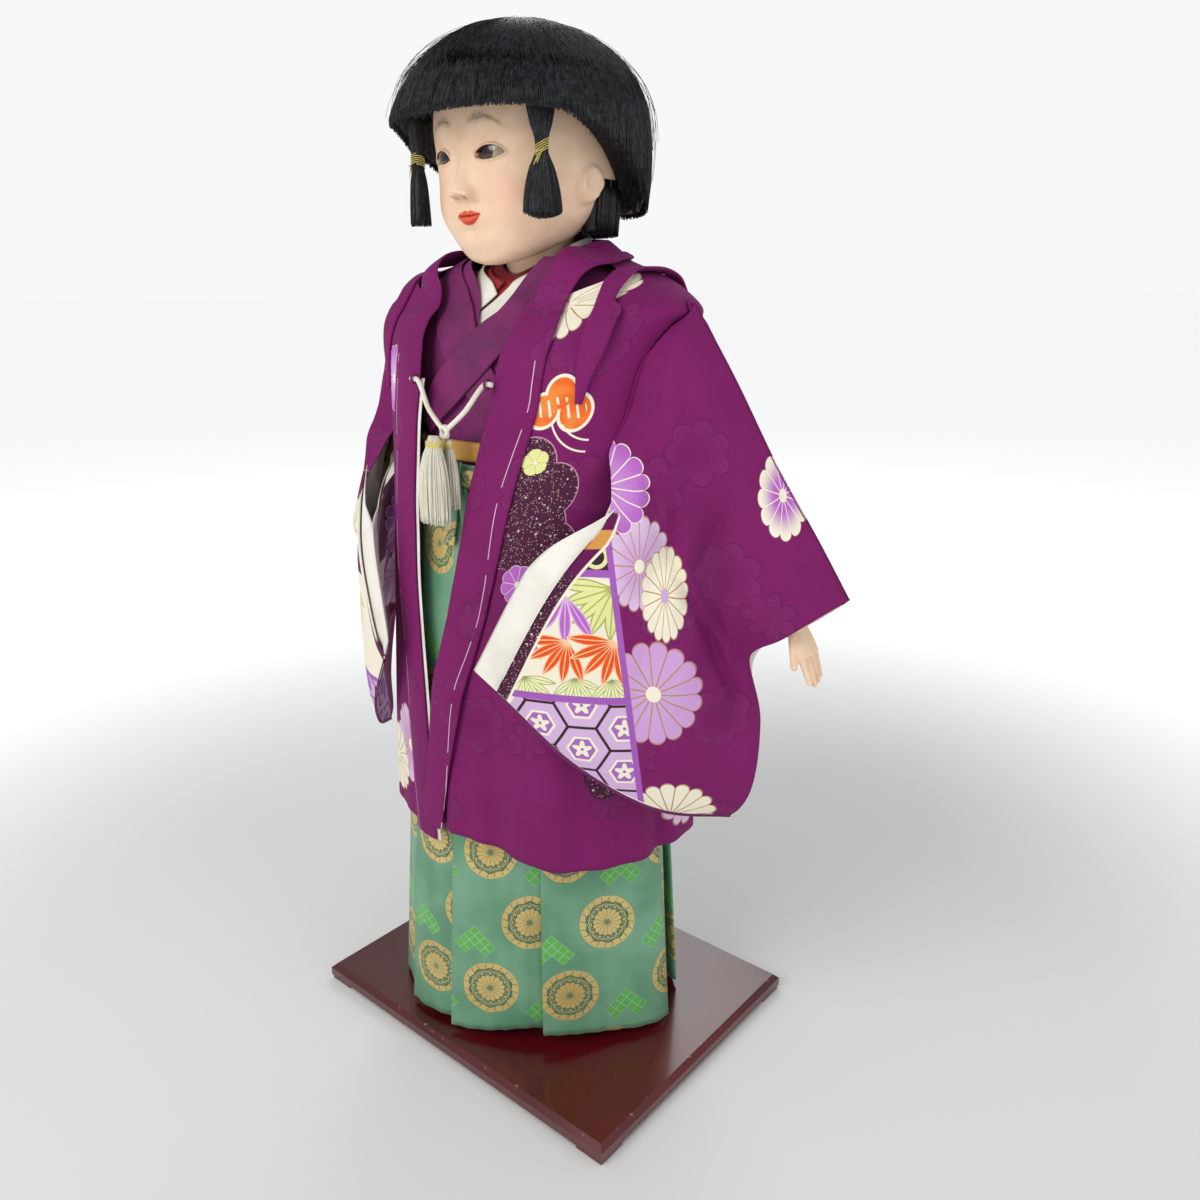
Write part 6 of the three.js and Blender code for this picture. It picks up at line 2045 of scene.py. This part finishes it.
def sleeve(kind, name, depth, finish, wall, first, last):
    """A closed bag at a depth within the outer one, from the share first to the share last
    of its breadth. The haori's also covers the armhole."""
    front, rear, w = sleeve_grids(name, depth, first, last)
    ring = np.concatenate([front, rear[:, -2::-1]], 1)
    side = SIDES[name]
    is_front = np.concatenate([np.ones_like(w), np.zeros_like(w[:, 1:])], 1)
    down = np.concatenate([w, w[:, -2::-1]], 1)
    if kind == "haori":
        extra = cover(ring, down, side)
        ring = np.concatenate([extra, ring])
        near_rows = len(extra) + SETTLED_ROWS
        ring[:near_rows] = clear_of_haori(ring[:near_rows], down[0], name)
        is_front, down = (np.concatenate([np.repeat(v[:1], len(extra), 0), v])
                          for v in (is_front, down))
    uv = laid(ring @ np.array([side * ACROSS_X, ACROSS_Y, 0.0]), ring[..., 2]) * MM
    step_length = np.linalg.norm(np.diff(ring, axis=0), axis=2)
    inset = np.concatenate([np.zeros((1, ring.shape[1])), np.cumsum(step_length, 0)]) * MM
    closed(f"{kind} sleeve {name}", ring, "arm_" + name, finish, uv=uv, wall=wall,
           inside=ring.reshape(-1, 3).mean(0),
           values={"front": is_front, "down": down, "inset": inset})


COVER_ROWS, SETTLED_ROWS, COVER_LIFT = 24, 30, 1.7
# the sleeve's cloth is measured along this direction in plan
ACROSS_X, ACROSS_Y = 0.766, 0.643
# share from the top fold to the bottom, reach inward over the armhole
ARMHOLE = [(0, 9), (0.06, 21), (0.12, 30), (0.2, 34), (0.32, 32), (0.42, 20), (0.5, 6),
           (0.56, 0), (1, 0)]
for name in SIDES:
    sleeve("haori", name, 0, (sleeve_silk[name], lining), 1.0, 0.0, 1.0)
    sleeve("kimono", name, 2.1, (white_silk, white_silk), 0.6, -0.09, 0.985)
print("sleeves", [round(v, 1) for v in SLEEVE_EDGES["left"]["top"][-1]])

# %% [markdown]
# ## Hakama
# The hakama is a pair of pleated panels of stiff brocade. Each pleat is a knife pleat: the
# face of one lies over the end of the one before, with a hidden layer between them. The
# section is therefore a folded line, and its folds open from the waist to the hem.

# %% Hakama
# angle from the front in degrees, radius of the hem
HEM_RADIUS = [(-180, 112), (-146, 122), (-120, 126), (-90, 128), (-57, 131), (-28, 121),
              (-3, 108), (22, 99), (42, 99), (70, 106), (95, 128), (115, 125), (133, 119),
              (146, 124), (180, 112)]
WAIST = (89, 77.5, 69)
HAKAMA_TOP, HEM = 466, 5
PLEATS = {"front": [-99, -74, -52, -28, -3, 42, 97], "back": [82, 122, 158, 202, 238, 278]}
TUCKED_IN = {"front": 0, "back": 13.4}
PLEAT_DEPTH, HAKAMA_ROW, FACE_COLUMNS = 7, 20, 26
# offset in degrees from the fold's line, share of the step from the lower face to the upper
FOLD = np.array([(3.2, 0.0), (4.0, 0.1), (4.2, 0.25), (3.6, 0.42), (0.5, 0.5), (-2.6, 0.58),
                 (-3.5, 0.72), (-3.7, 0.86), (-3.2, 1.0)])


def hakama_columns(pleats):
    """Turn, pleat number and place on the pleat for each column of the folded section."""
    turn, low, high, step = [], [], [], []
    for k, (a, b) in enumerate(zip(pleats[:-1], pleats[1:])):
        first = a - 3.2 if k else a
        last = b + 3.2 if k < len(pleats) - 2 else b
        fold = FOLD[1:-1] if k < len(pleats) - 2 else FOLD[:0]
        turn += [*np.linspace(first, last, FACE_COLUMNS), *(b + fold[:, 0])]
        low += [k] * (FACE_COLUMNS + len(fold))
        high += [k] * FACE_COLUMNS + [k + 1] * len(fold)
        step += [0.0] * FACE_COLUMNS + fold[:, 1].tolist()
    return (np.array(x) for x in (turn, low, high, step))


def hakama_sheet(pleats, tuck_in):
    turn, low, high, step = hakama_columns(pleats)
    pleats = np.asarray(pleats, float)
    v = np.linspace(0, 1, 110)[:, None]
    wrapped = (turn + 180) % 360 - 180
    rise = 8 * bell(turn, 40, 30)
    z = mix(HEM + rise[None], HAKAMA_TOP - 1, 1 - (1 - v) ** 1.2)
    down = np.clip((HAKAMA_TOP - z) / (HAKAMA_TOP - HEM), 0, 1) ** 0.9
    waist = plan_radius(*WAIST, np.radians(turn))
    hem = table(HEM_RADIUS, wrapped)[0]
    hollow = 13 * bell(wrapped, 45, 32) * bell(z, 190, 90)

    def face(k):
        share = (turn - pleats[k]) / (pleats[k + 1] - pleats[k])
        return mix(1.5, PLEAT_DEPTH + 3, down) * share

    inward = mix(face(low), face(high), step)
    soft = 0.5 * np.sin(np.radians(turn) * 41) * down * (step == 0)
    r = mix(waist, hem, down) - hollow - inward + soft - mix(min(tuck_in, 3), tuck_in, down)
    return polar(r, np.radians(turn), z)


for name, pleats in PLEATS.items():
    grid = hakama_sheet(pleats, TUCKED_IN[name])
    run = run_along(grid[HAKAMA_ROW])
    uv = laid(run[None], grid[..., 2]) * MM
    surface(f"hakama {name}", grid, "doll", green_brocade, uv=uv, wall=0.8)
waist_turn = circle(241)
waist_z = np.linspace(HAKAMA_TOP - 16, HAKAMA_TOP, 22)[:, None]
waist_grow = mix(4, 1.2, (waist_z - HAKAMA_TOP + 16) / 16) + 1.2 \
    - 0.35 * bell((waist_z - HAKAMA_TOP + 8) / 4, 0, 0.25)
surface("hakama waistband", polar(plan_radius(*WAIST, waist_turn)[None] + waist_grow,
        waist_turn[None], waist_z), "doll", green_brocade, wrap=True, wall=1.2,
        uv=laid(waist_turn[None] * 0.08, waist_z * MM))


def strap(name, line, width, wall, across, **kept):
    """A flat strap along a line, in a given direction across."""
    offset = np.linspace(-0.5, 0.5, 15)[None, :, None]
    across = np.broadcast_to(unit(np.asarray(across, float)), line.shape)[:, None]
    width = np.broadcast_to(width, len(line))[:, None, None]
    grid = line[:, None] + across * offset * width
    folded(name, grid, wall, green_brocade, puff=0.4, **kept)


BOW_Y, BOW_Z = -(WAIST[1] + 7.2), HAKAMA_TOP - 9
t = np.linspace(-1, 1, 60)
bar = np.stack([26.5 * t, BOW_Y + 0.9 * t ** 2, BOW_Z + 0.8 * np.cos(3 * t)], -1)
strap("bow bar", bar, 13.5 - 2.5 * bell(t, 0, 0.35), 2.4, (0, 0, 1), stands_for="hakama_bow")
knot_line = np.stack([np.zeros(40), BOW_Y - 2.2 + 1.6 * np.linspace(-1, 1, 40) ** 4,
                      BOW_Z + 11.5 * np.linspace(-1, 1, 40)], -1)
strap("bow knot", knot_line, 16 - 3 * bell(np.linspace(-1, 1, 40), 0, 0.5), 2.2, (1, 0, 0))
for side in (-1, 1):
    t = np.linspace(0, 1, 50)
    tail = np.stack([side * (4 + 7 * t), BOW_Y + 0.4 + 0.5 * np.sin(5 * t),
                     BOW_Z - 6 - 44 * t], -1)
    strap(f"bow end {'left' if side > 0 else 'right'}", tail, 12.4, 1.6, (1, 0, -0.12 * side))
print("hakama columns", len(run))

# %% [markdown]
# ## Hands and feet
# The hands are shell white over carved wood, and the feet wear split-toe socks. The packed
# model has their plan. A fine even skin is drawn over those solids and smoothed, so that
# fingers and toes run into one another without edges.

# %% Hands and feet
def smooth_copy(name, body, finish, voxel, rounds):
    """An even skin over the node of the same name, smoothed so many times."""
    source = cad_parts["_".join(name.split())]
    work = bmesh.new()
    work.from_mesh(source.data)
    work.transform(source.matrix_world)
    join_doubles(work, 1e-5)
    solid = bpy.data.meshes.new("solid")
    work.to_mesh(solid)
    work.free()
    holder = bpy.data.objects.new("holder", solid)
    bpy.context.scene.collection.objects.link(holder)
    remesh = holder.modifiers.new("skin", "REMESH")
    remesh.mode, remesh.voxel_size, remesh.use_smooth_shade = "VOXEL", voxel * MM, True
    relax = holder.modifiers.new("relax", "SMOOTH")
    relax.factor, relax.iterations = 0.5, rounds
    graph = bpy.context.evaluated_depsgraph_get()
    mesh = bpy.data.meshes.new_from_object(holder.evaluated_get(graph))
    bpy.data.objects.remove(holder)
    mesh.materials.clear()
    finish_piece(name, mesh, body, finish)


for name in SIDES:
    smooth_copy(f"hand {name}", f"arm_{name}", skin, 0.55, 8)
    smooth_copy(f"foot {name}", "doll", white_body_silk, 0.9, 10)
print("hand faces", len(pieces["hand left"].data.polygons))

# %% [markdown]
# ## Lacquered board and the parts inside
# The board is wood under deep red-brown lacquer. It is glossy, with fine scratches, and its
# chamfers are rubbed pale. The body under the clothes is bound straw over wood, and plain
# pegs hold it up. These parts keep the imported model's own meshes and take a finish each.

# %% Board and inner parts
def build_lacquer(tree):
    """Deep gloss, scratched in short strokes and worn along the outer edge."""
    place = object_place(tree)
    x, y, _ = split(place)
    side = either(calc("ABSOLUTE", x) - 0.1555, calc("ABSOLUTE", y) - 0.1185)
    chips = noise(place, 160.0, 4.0)
    wear = step(0.62, 0.72, chips) * step(-0.0012, 0.0002, side) * (1.0 - step(0.0, 0.003, side))
    stroke = noise(join(tree, x * 40.0 + y * 300.0, y * 40.0 - x * 300.0), 1.0, 2.0)
    scratch = step(0.71, 0.735, stroke) * step(0.52, 0.6, noise(place, 14.0, 2.0))
    cloud = noise(place, 9.0, 3.0)
    colour = layers(hexa("4a0a10"), (step(0.3, 0.7, cloud), hexa("5e0f17")),
                    (wear * 0.8, hexa("c98f7c")), (scratch * 0.35, hexa("a06060")))
    return {"Base_Color": colour, "Roughness": 0.16 + cloud * 0.12 + wear * 0.4,
            "Coat_Weight": 0.5, "Coat_Roughness": 0.12,
            "Normal": bump(noise(place, 60.0, 2.0), 0.0003, 0.12)}


def build_straw(tree):
    x, y, z = split(object_place(tree))
    fibre = noise(join(tree, x * 900.0, y * 900.0, z * 30.0), 1.0, 3.0)
    return {"Base_Color": paint(hexa("8d7440"), fibre, hexa("cdb37a")), "Roughness": 0.85,
            "Normal": bump(fibre, 0.0008, 0.6)}


def build_wood(tree):
    x, y, z = split(object_place(tree))
    grain = noise(join(tree, x * 300.0, y * 300.0, z * 12.0), 1.0, 4.0)
    return {"Base_Color": paint(hexa("b48b57"), grain, hexa("d9b985")), "Roughness": 0.6,
            "Normal": bump(grain, 0.0003, 0.4)}


def build_steel(tree):
    brushed = noise(object_place(tree), 900.0, 3.0)
    return {"Base_Color": paint(hexa("8c8c8c"), brushed, hexa("b4b4b2")), "Metallic": 1.0,
            "Roughness": 0.3 + brushed * 0.15}


lacquer, straw = material("lacquer", build_lacquer), material("straw", build_straw)
wood, steel = material("bare wood", build_wood), material("steel", build_steel)
INNER = {"base_board": lacquer, "torso": straw, "neck_peg": wood,
         "hakama_back_board": green_body_brocade,
         **{f"base_foot_{k}": lacquer for k in range(1, 5)},
         **{f"{part}_{name}": finish for name in SIDES for part, finish in
            (("foot_peg", steel), ("leg", straw), ("arm", straw))}}
for name, finish in INNER.items():
    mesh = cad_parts[name].data
    mesh.materials.clear()
    mesh.materials.append(finish)
print("carried over", len(INNER), "nodes")

# %% [markdown]
# ## What the cloth was cut to
# Each garment piece was cut flat. Cloth hardly stretches, so the flat size of a piece is the
# length across it by the length along it, and its area is that of its surface.

# %% Sheets
def declare(name, held, rests_on):
    """A sheet whose cut has the piece's own mean width, length and area."""
    piece = pieces[name]
    mesh = piece.data
    points = np.empty(len(mesh.vertices) * 3)
    mesh.vertices.foreach_get("co", points)
    points = points.reshape(-1, 3)
    area = np.empty(len(mesh.polygons))
    mesh.polygons.foreach_get("area", area)
    area = float(area.sum())
    if not piece.modifiers:
        area /= 2
    tall = float(np.ptp(points[:, 2])) or 0.05
    length = max(tall, math.sqrt(area))
    return name, round(area / length, 3), round(length, 3)


SHEETS = [("kimono body", "folded", ["torso"]), ("kimono collar", "folded", ["kimono_body"]),
          ("white collar", "folded", ["torso"]), ("red collar", "folded", ["torso"]),
          ("obi", "gathered", ["kimono_body"]), ("haori collar", "hung", ["haori_panel_left"]),
          ("under-robe neck", "gathered", ["torso"]),
          ("hakama front", "gathered", ["hakama_waistband"]),
          ("hakama back", "gathered", ["hakama_waistband"]),
          ("hakama waistband", "gathered", ["kimono_body"])]
for name in SIDES:
    SHEETS += [(f"haori panel {name}", "hung", ["torso"]),
               (f"shoulder tuck {name}", "folded", [f"haori_panel_{name}"]),
               (f"haori sleeve {name}", "hung", [f"arm_{name}"]),
               (f"kimono sleeve {name}", "hung", [f"arm_{name}"])]
cut_sizes = [declare(*row) for row in SHEETS]
for name, width, length in cut_sizes:
    print(f"{name}: {width} x {length} m")
